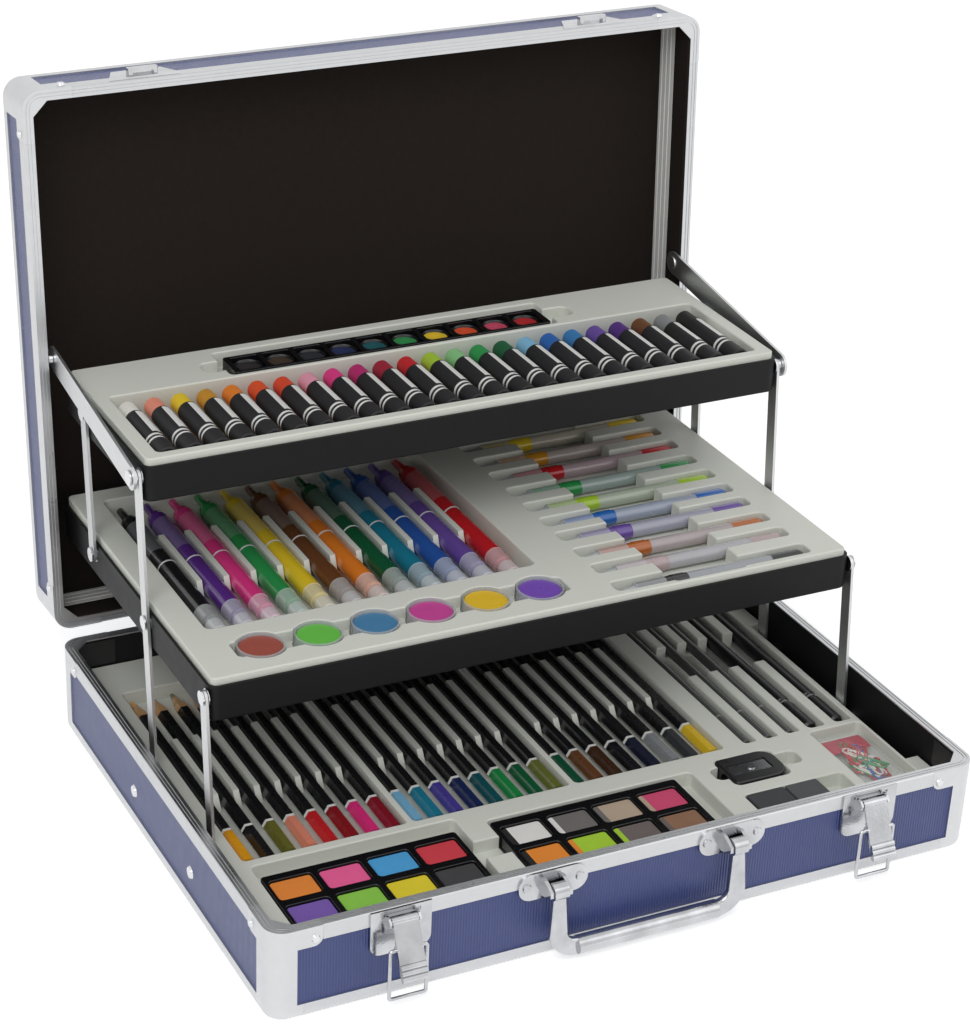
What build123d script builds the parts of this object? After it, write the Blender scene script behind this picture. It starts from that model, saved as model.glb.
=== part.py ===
from build123d import *
import os
from math import cos, hypot, pi, radians, sin

os.makedirs("parts", exist_ok=True)

# A drawing set case with its lid open and two trays lifted, in millimetres.
# X runs to the right, Y to the hinges at the back, Z up. The origin is the centre of the underside.

# Case: driving dimensions
case_width = 410.0
case_depth = 312.0
base_height = 53.0
lid_height = 36.8
seam_gap = 0.3          # between the two rims of the closed case
corner_radius = 10.5
metal = 0.9             # aluminium trims and corner guards
sheet = 0.8             # ribbed panels
wall = 4.0              # board of the side walls
floor = 3.0             # board of the bottom
roof = 2.0              # board of the lid's top
lining = 0.3            # cloth under the lid's top
cap = 0.8               # top leg of the rim trims
rim_leg = 8.5           # outer leg of the rim trims
rim_width = 5.9         # width of the rim seen from above
foot_leg = 8.6          # outer leg of the foot and edge trims
foot_return = 8.0       # leg of the foot trims under the case
foot_round = 4.0        # round of the long outer edges
clear = 0.3             # least gap between bodies that move past each other
running = 0.05          # radial play of a pivot

half_w = case_width / 2
half_d = case_depth / 2
shell_x = half_w - metal - sheet
shell_y = half_d - metal - sheet
inner_x = shell_x - wall
inner_y = shell_y - wall
lid_foot = base_height + seam_gap
lid_top = lid_foot + lid_height
roof_z = lid_top - metal - sheet - roof   # underside of the lid's board

# Lid, open at rest
open_angle = 93.65
hinge_y = half_d + 4.7
hinge_z = base_height - 2.1

# Tray linkage: pivots as (y, z) with the case open
tray_height = 23.8
tray_wall = 1.6
tray_lip = 3.8          # how far the moulded insert stands above the black tray
tray_half_w = 190.5
insert_half_w = 188.3
pivot_rise = 13.5       # pivot above the underside of its tray
arm_span = 84.0         # spacing of the front and rear arms
main_base = (36.4, 22.1)
main_mid = (45.6, 119.0)
main_top = (53.3, 201.0)
front_base = (main_base[0] - arm_span, main_base[1])
front_mid = (main_mid[0] - arm_span, main_mid[1])
rear_mid = (main_mid[0] + arm_span, main_mid[1])
rear_top = (main_top[0] + arm_span, main_top[1])
link_lid = (176.0, 218.0)
arm_width = 8.0
link_width = 13.5
arm_inner = 191.2       # distance of the arms' inner face from the middle of the case
arm_thick = 1.6
link_inner = 194.6
link_thick = 1.6
pin_radius = 2.0

mid_bottom = main_mid[1] - pivot_rise
mid_front = -42.0
mid_back = 186.0
top_bottom = main_top[1] - pivot_rise
top_front = 47.5
top_back = 174.0

# Levels of the three inserts
base_insert_top = 34.8
mid_insert_top = mid_bottom + tray_height
top_insert_top = top_bottom + tray_height
insert_corner = 3.0


def swung(y, z):
    """Where a point of the closed lid stands with the lid open."""
    turn = radians(open_angle)
    dy, dz = y - hinge_y, z - hinge_z
    return hinge_y + dy * cos(turn) + dz * sin(turn), hinge_z - dy * sin(turn) + dz * cos(turn)


# Frames: the base as it stands, and the lid, whose local coordinates are those of the closed case
base_frame = Plane.XY
lid_frame = Plane(
    origin=(0, *swung(0, 0)),
    x_dir=(1, 0, 0),
    z_dir=(0, sin(radians(open_angle)), cos(radians(open_angle))),
)
UP = Vector(0, 0, 1)
FRONT = Vector(0, -1, 0)
BACK = Vector(0, 1, 0)
LEFT = Vector(-1, 0, 0)
RIGHT = Vector(1, 0, 0)


def turned(frame, direction):
    """A direction of the closed case, turned with a frame."""
    return frame.from_local_coords(direction) - frame.origin


def section_plane(frame, outward):
    """Across a side: local x is the distance outward, local y the height."""
    return Plane(
        origin=frame.origin,
        x_dir=turned(frame, outward),
        z_dir=turned(frame, outward.cross(UP)),
    )


def face_plane(frame, outward, distance):
    """Facing a side from outside: local x runs to the right along it, local y is the height."""
    return Plane(
        origin=frame.from_local_coords(outward * distance),
        x_dir=turned(frame, UP.cross(outward)),
        z_dir=turned(frame, outward),
    )


def keep(piece, node):
    """Label a finished piece and write it to its own file."""
    piece.part.label = node
    export_step(piece.part, f"parts/{node}.step")


def half_of(outward):
    """Half the case's size towards a side."""
    return half_d if abs(outward.Y) > 0.5 else half_w


def other_half_of(outward):
    """Half the case's size along a side."""
    return half_w if abs(outward.Y) > 0.5 else half_d


SIDES = (FRONT, BACK, LEFT, RIGHT)
panel_inset = foot_round + 0.2

# Corner guards: sizes along the faces
guard_front = 14.5      # cover on the front and back faces
guard_side = 17.0       # cover on the left and right faces
guard_tab = 28.0        # rim tab on every face, from the corner
guard_tab_drop = 11.5
guard_foot = 18.0
guard_tab_round = 5.0
rim_chamfer = 8.0
groove_depth = 0.35
groove_width = 0.6
groove_insets = (1.6, 3.4)


# Case boards
def base_board():
    """Wooden tray of the base, with its bottom board flush with the foot trims."""
    with BuildPart() as board:
        with BuildSketch(Plane.XY.offset(metal)):
            RectangleRounded(2 * shell_x, 2 * shell_y, corner_radius - metal - sheet)
        extrude(amount=base_height - cap - metal)
        fillet(board.edges().group_by(Axis.Z)[0], 3.0)
        with BuildSketch():
            Rectangle(2 * (half_w - foot_return - clear), 2 * (half_d - foot_return - clear))
        extrude(amount=metal + 1)
        with BuildSketch(Plane.XY.offset(floor)):
            RectangleRounded(2 * inner_x, 2 * inner_y, 3.0)
        extrude(amount=base_height, mode=Mode.SUBTRACT)
    return board


def lid_board():
    """Wooden tray of the lid."""
    with BuildPart() as board:
        with BuildSketch(lid_frame.offset(lid_foot + cap)):
            RectangleRounded(2 * shell_x, 2 * shell_y, corner_radius - metal - sheet)
        extrude(amount=lid_height - cap - metal - sheet)
        fillet(board.edges().group_by(Axis(lid_frame.origin, lid_frame.z_dir))[-1], 3.0)
        with BuildSketch(lid_frame.offset(lid_foot)):
            RectangleRounded(2 * inner_x, 2 * inner_y, 3.0)
        extrude(amount=roof_z - lid_foot, mode=Mode.SUBTRACT)
    return board


def side_panel(frame, outward, low, high):
    """Flat ribbed sheet on one side."""
    along = other_half_of(outward) - corner_radius
    with BuildPart() as panel:
        with BuildSketch(face_plane(frame, outward, half_of(outward) - metal - sheet)):
            with Locations((0, (low + high) / 2)):
                Rectangle(2 * along, high - low)
        extrude(amount=sheet)
    return panel


def rim_length(frame, outward, edge, inward):
    """Straight rim trim on one side; edge is its top face and inward the way to the board."""
    reach = half_of(outward)
    with BuildPart() as length:
        with BuildSketch(section_plane(frame, outward)):
            with BuildLine():
                Polyline(
                    (reach - rim_width, edge),
                    (reach - 0.5, edge),
                    (reach, edge + inward * 0.5),
                    (reach, edge + inward * rim_leg),
                    (reach - metal, edge + inward * rim_leg),
                    (reach - metal, edge + inward * cap),
                    (reach - rim_width, edge + inward * cap),
                    close=True,
                )
            make_face()
            for inset in groove_insets:
                with Locations((reach - inset - groove_width / 2, edge)):
                    Rectangle(groove_width, 2 * groove_depth, mode=Mode.SUBTRACT)
        extrude(amount=other_half_of(outward) - guard_tab - 0.05, both=True)
    return length


def foot_length(frame, outward, edge, inward):
    """Straight trim round the outer edge of one side."""
    reach = half_of(outward)
    inner_round = foot_round - metal
    turn = cos(pi / 4)
    with BuildPart() as length:
        with BuildSketch(section_plane(frame, outward)):
            with BuildLine():
                Line((reach, edge + inward * foot_leg), (reach, edge + inward * foot_round))
                ThreePointArc(
                    (reach, edge + inward * foot_round),
                    (reach - foot_round * (1 - turn), edge + inward * foot_round * (1 - turn)),
                    (reach - foot_round, edge),
                )
                Polyline(
                    (reach - foot_round, edge),
                    (reach - foot_return, edge),
                    (reach - foot_return, edge + inward * metal),
                    (reach - foot_round, edge + inward * metal),
                )
                ThreePointArc(
                    (reach - foot_round, edge + inward * metal),
                    (
                        reach - foot_round + inner_round * turn,
                        edge + inward * (foot_round - inner_round * turn),
                    ),
                    (reach - metal, edge + inward * foot_round),
                )
                Polyline(
                    (reach - metal, edge + inward * foot_round),
                    (reach - metal, edge + inward * foot_leg),
                    (reach, edge + inward * foot_leg),
                )
            make_face()
        extrude(amount=other_half_of(outward) - guard_foot - 0.05, both=True)
    return length


def joined(pieces):
    """Several separate solids kept as one node."""
    with BuildPart() as group:
        for piece in pieces:
            add(piece.part)
    return group


def guard_block(frame, foot, inward, height):
    """Hollow skin of the whole case body, as thick as the guards."""
    axis = Axis(frame.origin, frame.z_dir * inward)
    with BuildPart() as core:
        with BuildSketch(frame.offset(foot + inward * metal)):
            RectangleRounded(case_width - 2 * metal, case_depth - 2 * metal, corner_radius - metal)
        extrude(amount=inward * (height - metal - cap))
        fillet(core.edges().group_by(axis)[0], foot_round - metal)
    with BuildPart() as block:
        with BuildSketch(frame.offset(foot)):
            RectangleRounded(case_width, case_depth, corner_radius)
        extrude(amount=inward * height)
        fillet(block.edges().group_by(axis)[0], foot_round)
        add(core.part, mode=Mode.SUBTRACT)
        with BuildSketch(frame.offset(foot + inward * (height - 2 * cap))) as mouth:
            Rectangle(2 * (half_w - rim_width), 2 * (half_d - rim_width))
            chamfer(mouth.vertices(), rim_chamfer)
        extrude(amount=inward * 3 * cap, mode=Mode.SUBTRACT)
        with BuildSketch(frame.offset(foot - inward)):
            Rectangle(2 * (half_w - foot_return), 2 * (half_d - foot_return))
        extrude(amount=inward * 2 * metal + inward, mode=Mode.SUBTRACT)
        for inset in groove_insets:
            with BuildSketch(frame.offset(foot + inward * (height - groove_depth))):
                RectangleRounded(case_width - 2 * inset, case_depth - 2 * inset, corner_radius - inset)
                RectangleRounded(
                    case_width - 2 * (inset + groove_width),
                    case_depth - 2 * (inset + groove_width),
                    corner_radius - inset - groove_width,
                    mode=Mode.SUBTRACT,
                )
            extrude(amount=inward * 2 * groove_depth, mode=Mode.SUBTRACT)
    return block


def guard_zone(frame, foot, inward, height):
    """Where the front right corner guard covers the case."""
    tab_middle = foot + inward * (height - guard_tab_drop / 2 + 0.5)
    far_end = slice(0, 2) if inward > 0 else slice(-2, None)   # the two vertices away from the rim
    with BuildPart() as zone:
        with BuildSketch(frame.offset(foot)):
            with Locations((half_w - guard_front / 2 + 1, -half_d + guard_side / 2 - 1)):
                Rectangle(guard_front + 2, guard_side + 2)
        extrude(amount=inward * height)
        with BuildSketch(frame.offset(foot)):
            with Locations((half_w - guard_foot / 2 + 1, -half_d + guard_foot / 2 - 1)):
                Rectangle(guard_foot + 2, guard_foot + 2)
        extrude(amount=inward * foot_leg)
        with BuildSketch(face_plane(frame, FRONT, half_d + 1)) as front_tab:
            with Locations((half_w - guard_tab / 2 + 1, tab_middle)):
                Rectangle(guard_tab + 2, guard_tab_drop + 1)
            fillet(front_tab.vertices().sort_by(Axis.Y)[far_end].sort_by(Axis.X)[0], guard_tab_round)
        extrude(amount=-rim_width - 4)
        with BuildSketch(face_plane(frame, RIGHT, half_w + 1)) as side_tab:
            with Locations((-half_d + guard_tab / 2 - 1, tab_middle)):
                Rectangle(guard_tab + 2, guard_tab_drop + 1)
            fillet(side_tab.vertices().sort_by(Axis.Y)[far_end].sort_by(Axis.X)[-1], guard_tab_round)
        extrude(amount=-rim_width - 4)
    return zone


def corner_guards(frame, foot, inward, height):
    """Four metal corners, each with its own piece of the rim."""
    block = guard_block(frame, foot, inward, height)
    zone = guard_zone(frame, foot, inward, height)
    with BuildPart() as guards:
        add(block.part)
        add(zone.part, mode=Mode.INTERSECT)
        mirror(about=Plane.YZ)
        mirror(about=Plane(origin=frame.origin, x_dir=(1, 0, 0), z_dir=frame.y_dir))
    return guards


rivet_inset = 24.0      # rivets on the guard tabs, from the corner
rivet_drop = 7.0        # below the rim
rivet_radius = 2.4
rivet_height = 1.0
arm_rivet_radius = 3.6


def rivet_heads(frame, outward, places, radius, distance):
    """Rivet heads on one side, at (along, height) places."""
    with BuildPart() as heads:
        with BuildSketch(face_plane(frame, outward, distance)):
            with Locations(*places):
                Circle(radius)
        extrude(amount=rivet_height, taper=30)
    return heads


def corner_rivets(frame, height):
    """Rivets of the four corner guards, two to a corner."""
    return [
        rivet_heads(
            frame,
            outward,
            [(sign * (other_half_of(outward) - rivet_inset), height) for sign in (-1, 1)],
            rivet_radius,
            half_of(outward),
        )
        for outward in SIDES
    ]


# Base and lid bodies
keep(base_board(), "base_shell")
keep(lid_board(), "lid_shell")
keep(joined([side_panel(base_frame, side, panel_inset, base_height - cap) for side in SIDES]), "base_panels")
lid_sides = [side_panel(lid_frame, side, lid_foot + cap, lid_top - panel_inset) for side in SIDES]
keep(joined(lid_sides), "lid_panels")
keep(joined([rim_length(base_frame, side, base_height, -1) for side in SIDES]), "base_rim_trim")
keep(joined([rim_length(lid_frame, side, lid_foot, 1) for side in SIDES]), "lid_rim_trim")
keep(joined([foot_length(base_frame, side, 0, 1) for side in SIDES]), "base_foot_trim")
keep(joined([foot_length(lid_frame, side, lid_top, -1) for side in SIDES]), "lid_edge_trim")
keep(corner_guards(base_frame, 0, 1, base_height), "base_corner_guards")
keep(corner_guards(lid_frame, lid_top, -1, lid_height), "lid_corner_guards")

arm_rivets = [
    rivet_heads(base_frame, side, [(sign * pivot[0], pivot[1]) for pivot in (main_base, front_base)],
                arm_rivet_radius, half_w - metal)
    for side, sign in ((LEFT, -1), (RIGHT, 1))
]

top_panel_inset = metal + sheet + 3.0
with BuildPart() as lid_top_panel:
    with BuildSketch(lid_frame.offset(lid_top - metal - sheet)):
        RectangleRounded(2 * (half_w - top_panel_inset), 2 * (half_d - top_panel_inset), 5.0)
    extrude(amount=sheet)
keep(lid_top_panel, "lid_top_panel")

# Lid inside: cloth under the top, grooved strips next to it, cloth down to the rim
strip_height = 15.8
strip_thick = 0.8
strip_grooves = (3.2, 7.9, 12.6)
strip_groove_width = 2.2
strip_groove_depth = 0.4
wall_cloth = 0.5
strip_low = roof_z - lining - strip_height
with BuildPart() as lid_lining:
    with BuildSketch(lid_frame.offset(roof_z - lining)):
        RectangleRounded(2 * inner_x, 2 * inner_y, 3.0)
    extrude(amount=lining)
    with BuildSketch(lid_frame.offset(lid_foot + cap)):
        RectangleRounded(2 * inner_x, 2 * inner_y, 3.0)
        Rectangle(2 * (inner_x - wall_cloth), 2 * (inner_y - wall_cloth), mode=Mode.SUBTRACT)
    extrude(amount=strip_low - lid_foot - cap)
keep(lid_lining, "lid_lining")


def inner_strip(outward):
    """Grooved aluminium strip on one inner wall of the lid."""
    reach = (inner_y if abs(outward.Y) > 0.5 else inner_x) - strip_thick
    along = (inner_x if abs(outward.Y) > 0.5 else inner_y) - strip_thick - 0.1
    with BuildPart() as strip:
        with BuildSketch(section_plane(lid_frame, outward)):
            with Locations((reach + strip_thick / 2, strip_low + strip_height / 2)):
                Rectangle(strip_thick, strip_height)
            for groove in strip_grooves:
                with Locations((reach, strip_low + groove)):
                    Rectangle(2 * strip_groove_depth, strip_groove_width, mode=Mode.SUBTRACT)
        extrude(amount=along - (2.2 if abs(outward.Y) > 0.5 else 3.0), both=True)
    return strip


keep(joined([inner_strip(side) for side in SIDES]), "lid_inner_trim")

# Inner corner brackets of the base, each an angle with a rivet on each leg
bracket_leg = 22.0
bracket_thick = 0.8
bracket_low = 36.0
bracket_high = base_height - cap - 1.0
with BuildPart() as base_inner_brackets:
    with BuildSketch(Plane.XY.offset(bracket_low)):
        with Locations((inner_x - bracket_leg / 2 - 3, -inner_y + bracket_thick / 2)):
            Rectangle(bracket_leg, bracket_thick)
        with Locations((inner_x - bracket_thick / 2, -inner_y + bracket_leg / 2 + 3)):
            Rectangle(bracket_thick, bracket_leg)
        with Locations((inner_x - 2.1, -inner_y + 2.1)):
            Rectangle(4.4, bracket_thick, rotation=45)
    extrude(amount=bracket_high - bracket_low)
    mirror(about=Plane.YZ)
    mirror(about=Plane.XZ)
keep(base_inner_brackets, "base_inner_brackets")

# Hinges: two, each with two base knuckles and one lid knuckle round a pin
hinge_places = (-118.0, 118.0)
hinge_width = 40.0
leaf = 1.2
knuckle_radius = 2.6
hinge_pin_radius = 1.2
end_knuckle = 10.0
leaf_length = 17.0


def hinge_leaf(frame, seam, towards, spans, bore):
    """Riveted leaf with a bent neck to its knuckles; towards is the way from the seam to the leaf."""
    with BuildPart() as leaf_part:
        for place in hinge_places:
            side = section_plane(frame, BACK)
            for low, high in spans:
                station = side.offset(place + low)
                with BuildSketch(station):
                    with BuildLine():
                        Polyline(
                            (half_d, seam + towards * 3.5),
                            (half_d + leaf, seam + towards * 3.5),
                            (hinge_y + 0.6, hinge_z + towards * 1.6),
                            (hinge_y - 1.6, hinge_z + towards * 0.4),
                            (half_d, seam + towards * 1.6),
                            close=True,
                        )
                    make_face()
                    with Locations((hinge_y, hinge_z)):
                        Circle(knuckle_radius)
                extrude(amount=high - low)
            with BuildSketch(side.offset(place - hinge_width / 2)):
                with Locations((half_d + leaf / 2, seam + towards * (leaf_length / 2 + 1.7))):
                    Rectangle(leaf, leaf_length)
            extrude(amount=hinge_width)
            with BuildSketch(side.offset(place - hinge_width / 2 - 1)):
                with Locations((hinge_y, hinge_z)):
                    Circle(bore)
            extrude(amount=hinge_width + 2, mode=Mode.SUBTRACT)
    return leaf_part


half_hinge = hinge_width / 2
end_spans = ((-half_hinge, -half_hinge + end_knuckle), (half_hinge - end_knuckle, half_hinge))
middle_span = ((-half_hinge + end_knuckle + clear, half_hinge - end_knuckle - clear),)
base_leaves = hinge_leaf(base_frame, base_height, -1, end_spans, hinge_pin_radius)
keep(hinge_leaf(lid_frame, lid_foot, 1, middle_span, hinge_pin_radius + running), "hinge_leaves_lid")
with BuildPart() as hinge_pins:
    for place in hinge_places:
        with BuildSketch(section_plane(base_frame, BACK).offset(place - half_hinge - 0.6)):
            with Locations((hinge_y, hinge_z)):
                Circle(hinge_pin_radius)
        extrude(amount=hinge_width + 1.2)
keep(joined([base_leaves, hinge_pins]), "hinge_leaves_base")

# Linkage arms, each a flat bar with round ends in a plane beside the trays
open_play = 0.3         # extra bore at a pivot that closes a loop


def bar_plane(side, inner, start, end):
    """On the inner face of a bar: local x runs along it from its first pivot."""
    run = Vector(0, end[0] - start[0], end[1] - start[1])
    return Plane(origin=(side * inner, start[0], start[1]), x_dir=run, z_dir=(side, 0, 0))


def bar(side, inner, thick, start, end, width, bores):
    """Flat bar from start to end; bores are (pivot, radius)."""
    length = hypot(end[0] - start[0], end[1] - start[1])
    with BuildPart() as strip:
        with BuildSketch(bar_plane(side, inner, start, end)):
            with Locations((length / 2, 0)):
                SlotCenterToCenter(length, width)
            for pivot, radius in bores:
                reach = hypot(pivot[0] - start[0], pivot[1] - start[1])
                with Locations((reach, 0)):
                    Circle(radius, mode=Mode.SUBTRACT)
        extrude(amount=thick)
    return strip


bore = pin_radius + running
open_bore = pin_radius + open_play
link_head = 4.0
for side, name in ((-1, "left"), (1, "right")):
    keep(
        bar(side, arm_inner, arm_thick, main_base, main_top, arm_width,
            ((main_base, bore), (main_mid, bore), (main_top, bore))),
        f"main_arm_{name}",
    )
    keep(
        bar(side, arm_inner, arm_thick, front_base, front_mid, arm_width,
            ((front_base, bore), (front_mid, open_bore))),
        f"front_arm_{name}",
    )
    keep(
        bar(side, arm_inner, arm_thick, rear_mid, rear_top, arm_width,
            ((rear_mid, bore), (rear_top, open_bore))),
        f"upper_arm_{name}",
    )
    link = bar(side, link_inner, link_thick, main_top, link_lid, link_width, ((main_top, bore),))
    with BuildPart() as lid_link:
        add(link.part)
        with BuildSketch(Plane(origin=(side * link_inner, *link_lid), x_dir=(0, 1, 0), z_dir=(-side, 0, 0))):
            Circle(link_head)
        extrude(amount=0.6, taper=30)
    keep(lid_link, f"lid_link_{name}")


def pivot_stack(pivots, steps):
    """Round steps along X at each pivot on both sides; steps are (from, to, radius)."""
    with BuildPart() as stack:
        for side in (-1, 1):
            for y, z in pivots:
                for low, high, radius in steps:
                    with BuildSketch(Plane(origin=(side * low, y, z), x_dir=(0, 1, 0), z_dir=(side, 0, 0))):
                        Circle(radius)
                    extrude(amount=high - low)
    return stack


arm_outer = arm_inner + arm_thick
link_outer = link_inner + link_thick
head_thick = 0.9
base_pivots = pivot_stack(
    (main_base, front_base),
    (
        (arm_inner - clear - 0.5, arm_inner - clear, 4.0),
        (arm_inner - clear, arm_outer + clear, pin_radius),
        (arm_outer + clear, inner_x, 4.5),
    ),
)
keep(
    joined(corner_rivets(base_frame, base_height - rivet_drop) + arm_rivets + [base_pivots]),
    "base_rivets",
)
tray_steps = (
    (tray_half_w, arm_inner - clear, 4.5),
    (arm_inner - clear, arm_outer + clear, pin_radius),
    (arm_outer + clear, arm_outer + clear + head_thick, 4.0),
)
link_steps = (
    (tray_half_w, arm_inner - clear, 4.5),
    (arm_inner - clear, arm_outer + clear, pin_radius),
    (arm_outer + clear, link_inner - clear, 3.6),
    (link_inner - clear, link_outer + clear, pin_radius),
    (link_outer + clear, link_outer + clear + head_thick, 4.0),
)
keep(pivot_stack((main_mid, front_mid, rear_mid), tray_steps), "mid_tray_rivets")
keep(
    joined([pivot_stack((main_top,), link_steps), pivot_stack((rear_top,), tray_steps)]),
    "top_tray_rivets",
)

# Lid rivets: the guards' heads and the studs that face the ends of the links
stud_steps = ((link_outer + clear, inner_x - wall_cloth, 2.6),)
keep(
    joined(corner_rivets(lid_frame, lid_foot + rivet_drop) + [pivot_stack((link_lid,), stud_steps)]),
    "lid_rivets",
)

# Trays: black outer trays
tray_corner = 6.0
tray_floor = 1.6


def black_tray(front, back, bottom):
    """Open black tray under a moulded insert."""
    depth = back - front
    shell_height = tray_height - tray_lip
    with BuildPart() as tray:
        with BuildSketch(Plane(origin=(0, (front + back) / 2, bottom))):
            RectangleRounded(2 * tray_half_w, depth, tray_corner)
        extrude(amount=shell_height)
        fillet(tray.edges().group_by(Axis.Z)[0], 1.2)
        with BuildSketch(Plane(origin=(0, (front + back) / 2, bottom + tray_floor))):
            RectangleRounded(2 * (tray_half_w - tray_wall), depth - 2 * tray_wall, tray_corner - tray_wall)
        extrude(amount=shell_height, mode=Mode.SUBTRACT)
    return tray


keep(black_tray(mid_front, mid_back, mid_bottom), "mid_tray_shell")
keep(black_tray(top_front, top_back, top_bottom), "top_tray_shell")
insert_inset = tray_half_w - insert_half_w


def block(x_low, x_high, y_low, y_high, z_low, z_high, round_corner=0.0):
    """Upright block between limits, its vertical edges rounded."""
    with BuildPart() as piece:
        with BuildSketch(Plane(origin=((x_low + x_high) / 2, (y_low + y_high) / 2, z_low))):
            if round_corner:
                RectangleRounded(x_high - x_low, y_high - y_low, round_corner)
            else:
                Rectangle(x_high - x_low, y_high - y_low)
        extrude(amount=z_high - z_low)
    return piece


def sloped_rib(x_middle, width, y_low, y_high, z_low, z_high, slope):
    """Rib across a recess, with sloping ends."""
    with BuildPart() as rib:
        with BuildSketch(Plane.YZ.offset(x_middle - width / 2)):
            with BuildLine():
                Polyline(
                    (y_low, z_low),
                    (y_high, z_low),
                    (y_high - slope, z_high),
                    (y_low + slope, z_high),
                    close=True,
                )
            make_face()
        extrude(amount=width)
    return rib


def insert_body(x_half, front, back, top, slab, bottom, corner, skirt=1.6):
    """Moulded insert: a slab as thick as its recesses are deep, on a thin skirt."""
    middle = (front + back) / 2
    with BuildPart() as body:
        with BuildSketch(Plane(origin=(0, middle, bottom))):
            RectangleRounded(2 * x_half, back - front, corner)
        extrude(amount=top - bottom)
        if top - slab > bottom + 1:
            with BuildSketch(Plane(origin=(0, middle, bottom))):
                Rectangle(2 * (x_half - skirt) - 2 * corner, back - front - 2 * skirt - 2 * corner)
            extrude(amount=top - slab - bottom, mode=Mode.SUBTRACT)
    return body


def moulded(body, recesses, ribs, edge_round):
    """Cut the recesses, soften every edge at the top face, then stand the ribs in them."""
    with BuildPart() as shape:
        add(body.part)
        for recess in recesses:
            add(recess.part, mode=Mode.SUBTRACT)
        fillet(shape.edges().group_by(Axis.Z)[-1], edge_round)
        for rib in ribs:
            add(rib.part)
    return shape


# Base insert and what lies in it
above = 5.0             # how far a cut runs past the top face
seat = 0.02             # least lift of a piece off the floor of its recess
pencil_depth = 9.0
stick_depth = 7.6
tool_depth = 9.8
well_depth = 8.6        # palettes, erasers and clip bag
sharpener_depth = 10.0
side_play = 0.9         # beside a round stick in its recess
pencil_pitch = 11.9
pencil_starts = (-177.8, -81.3, 15.0)
pencil_count = 8
pencil_front = -62.5
pencil_body_end = 93.0
pencil_back = 112.5
pencil_flats = 7.0
pencil_floor = base_insert_top - pencil_depth
stick_places = (120.0, 134.0, 148.0)
stick_radius = 3.0
brush_places = (163.5, 181.0)
brush_radius = 4.4
row_front = -66.0
row_back = 116.0
trough = (10.0, 45.0)
notch_inner = arm_inner - clear - 0.5 - clear
base_slab = 12.4
base_body = insert_body(inner_x - 1.3, -inner_y + 0.8, inner_y - 0.8,
                        base_insert_top, base_slab, floor, insert_corner)
palette_one = (-180.0, -70.0, -132.0, -82.0)
palette_two = (-50.0, 62.0, -132.0, -82.0)
cake_width = 23.0
cake_depth = 17.0
palette_height = 8.0
palette_base = 2.0      # bottom of a well above the recess
palette_floor = base_insert_top - well_depth
cakes_one = ((-166.0, -138.8, -111.6, -84.4), (-96.0, -119.0))
cakes_two = ((-35.5, -8.0, 19.0, 46.5), (-97.0, -119.5))
sharpener_at = (107.0, -89.0)
sharpener_size = (34.0, 25.0)
eraser_first = (88.5, 111.5, -128.5, -112.5)
eraser_second = (112.5, 132.5, -128.5, -112.5)
clip_bag_at = (157.0, 187.0, -128.0, -72.0)

recesses = [
    block(
        start - pencil_pitch / 2 + 1.2,
        start + (pencil_count - 0.5) * pencil_pitch - 1.2,
        row_front, row_back, pencil_floor, base_insert_top + above, 2.5,
    )
    for start in pencil_starts
]
recesses += [
    block(x - stick_radius - side_play, x + stick_radius + side_play, row_front, row_back,
          base_insert_top - stick_depth, base_insert_top + above, 2.0)
    for x in stick_places
]
recesses += [
    block(x - brush_radius - side_play, x + brush_radius + side_play, row_front, row_back,
          base_insert_top - tool_depth, base_insert_top + above, 2.5)
    for x in brush_places
]
recesses += [
    block(stick_places[0], brush_places[1], trough[0], trough[1],
          base_insert_top - tool_depth, base_insert_top + above, 1.0),
    block(palette_one[0] - 1.0, palette_one[1] + 4.0, palette_one[2] - 1.0, palette_one[3] + 10.0,
          palette_floor, base_insert_top + above, 3.0),
    block(palette_two[0] - 1.0, palette_two[1] + 11.0, palette_two[2] - 1.0, palette_two[3] + 2.0,
          palette_floor, base_insert_top + above, 3.0),
    block(palette_one[1] - 12.0, palette_two[0] + 12.0, -111.0, -96.0,
          palette_floor + 1.0, base_insert_top + above, 5.0),
    block(sharpener_at[0] - 17.6, sharpener_at[0] + 17.6, sharpener_at[1] - 13.1, sharpener_at[1] + 13.1,
          base_insert_top - sharpener_depth, base_insert_top + above, 4.0),
    block(sharpener_at[0] - 24.0, sharpener_at[0] + 30.0, sharpener_at[1] - 5.0, sharpener_at[1] + 7.0,
          base_insert_top - 8.0, base_insert_top + above, 4.0),
    block(eraser_first[0] - 0.8, 149.0, eraser_first[2] - 0.8, eraser_first[3] + 0.8,
          base_insert_top - well_depth, base_insert_top + above, 2.5),
    block(clip_bag_at[0] - 1.5, clip_bag_at[1] + 1.2, clip_bag_at[2] - 2.0, clip_bag_at[3] + 2.0,
          base_insert_top - well_depth, base_insert_top + above, 3.0),
]
notches = [
    block(side * 204.0 if side < 0 else notch_inner, -notch_inner if side < 0 else 204.0,
          front_base[0] - 66.0, main_base[0] + 12.0, 0, base_insert_top + above)
    for side in (-1, 1)
]
rib_width = 3.4
ribs = [
    sloped_rib(start + (index + 0.5) * pencil_pitch, rib_width, -6.0, 67.0,
               pencil_floor - 0.5, base_insert_top - 1.4, 6.0)
    for start in pencil_starts
    for index in range(pencil_count - 1)
]
base_insert = moulded(base_body, recesses + notches, ribs, 0.9)
keep(base_insert, "base_insert")


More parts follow.
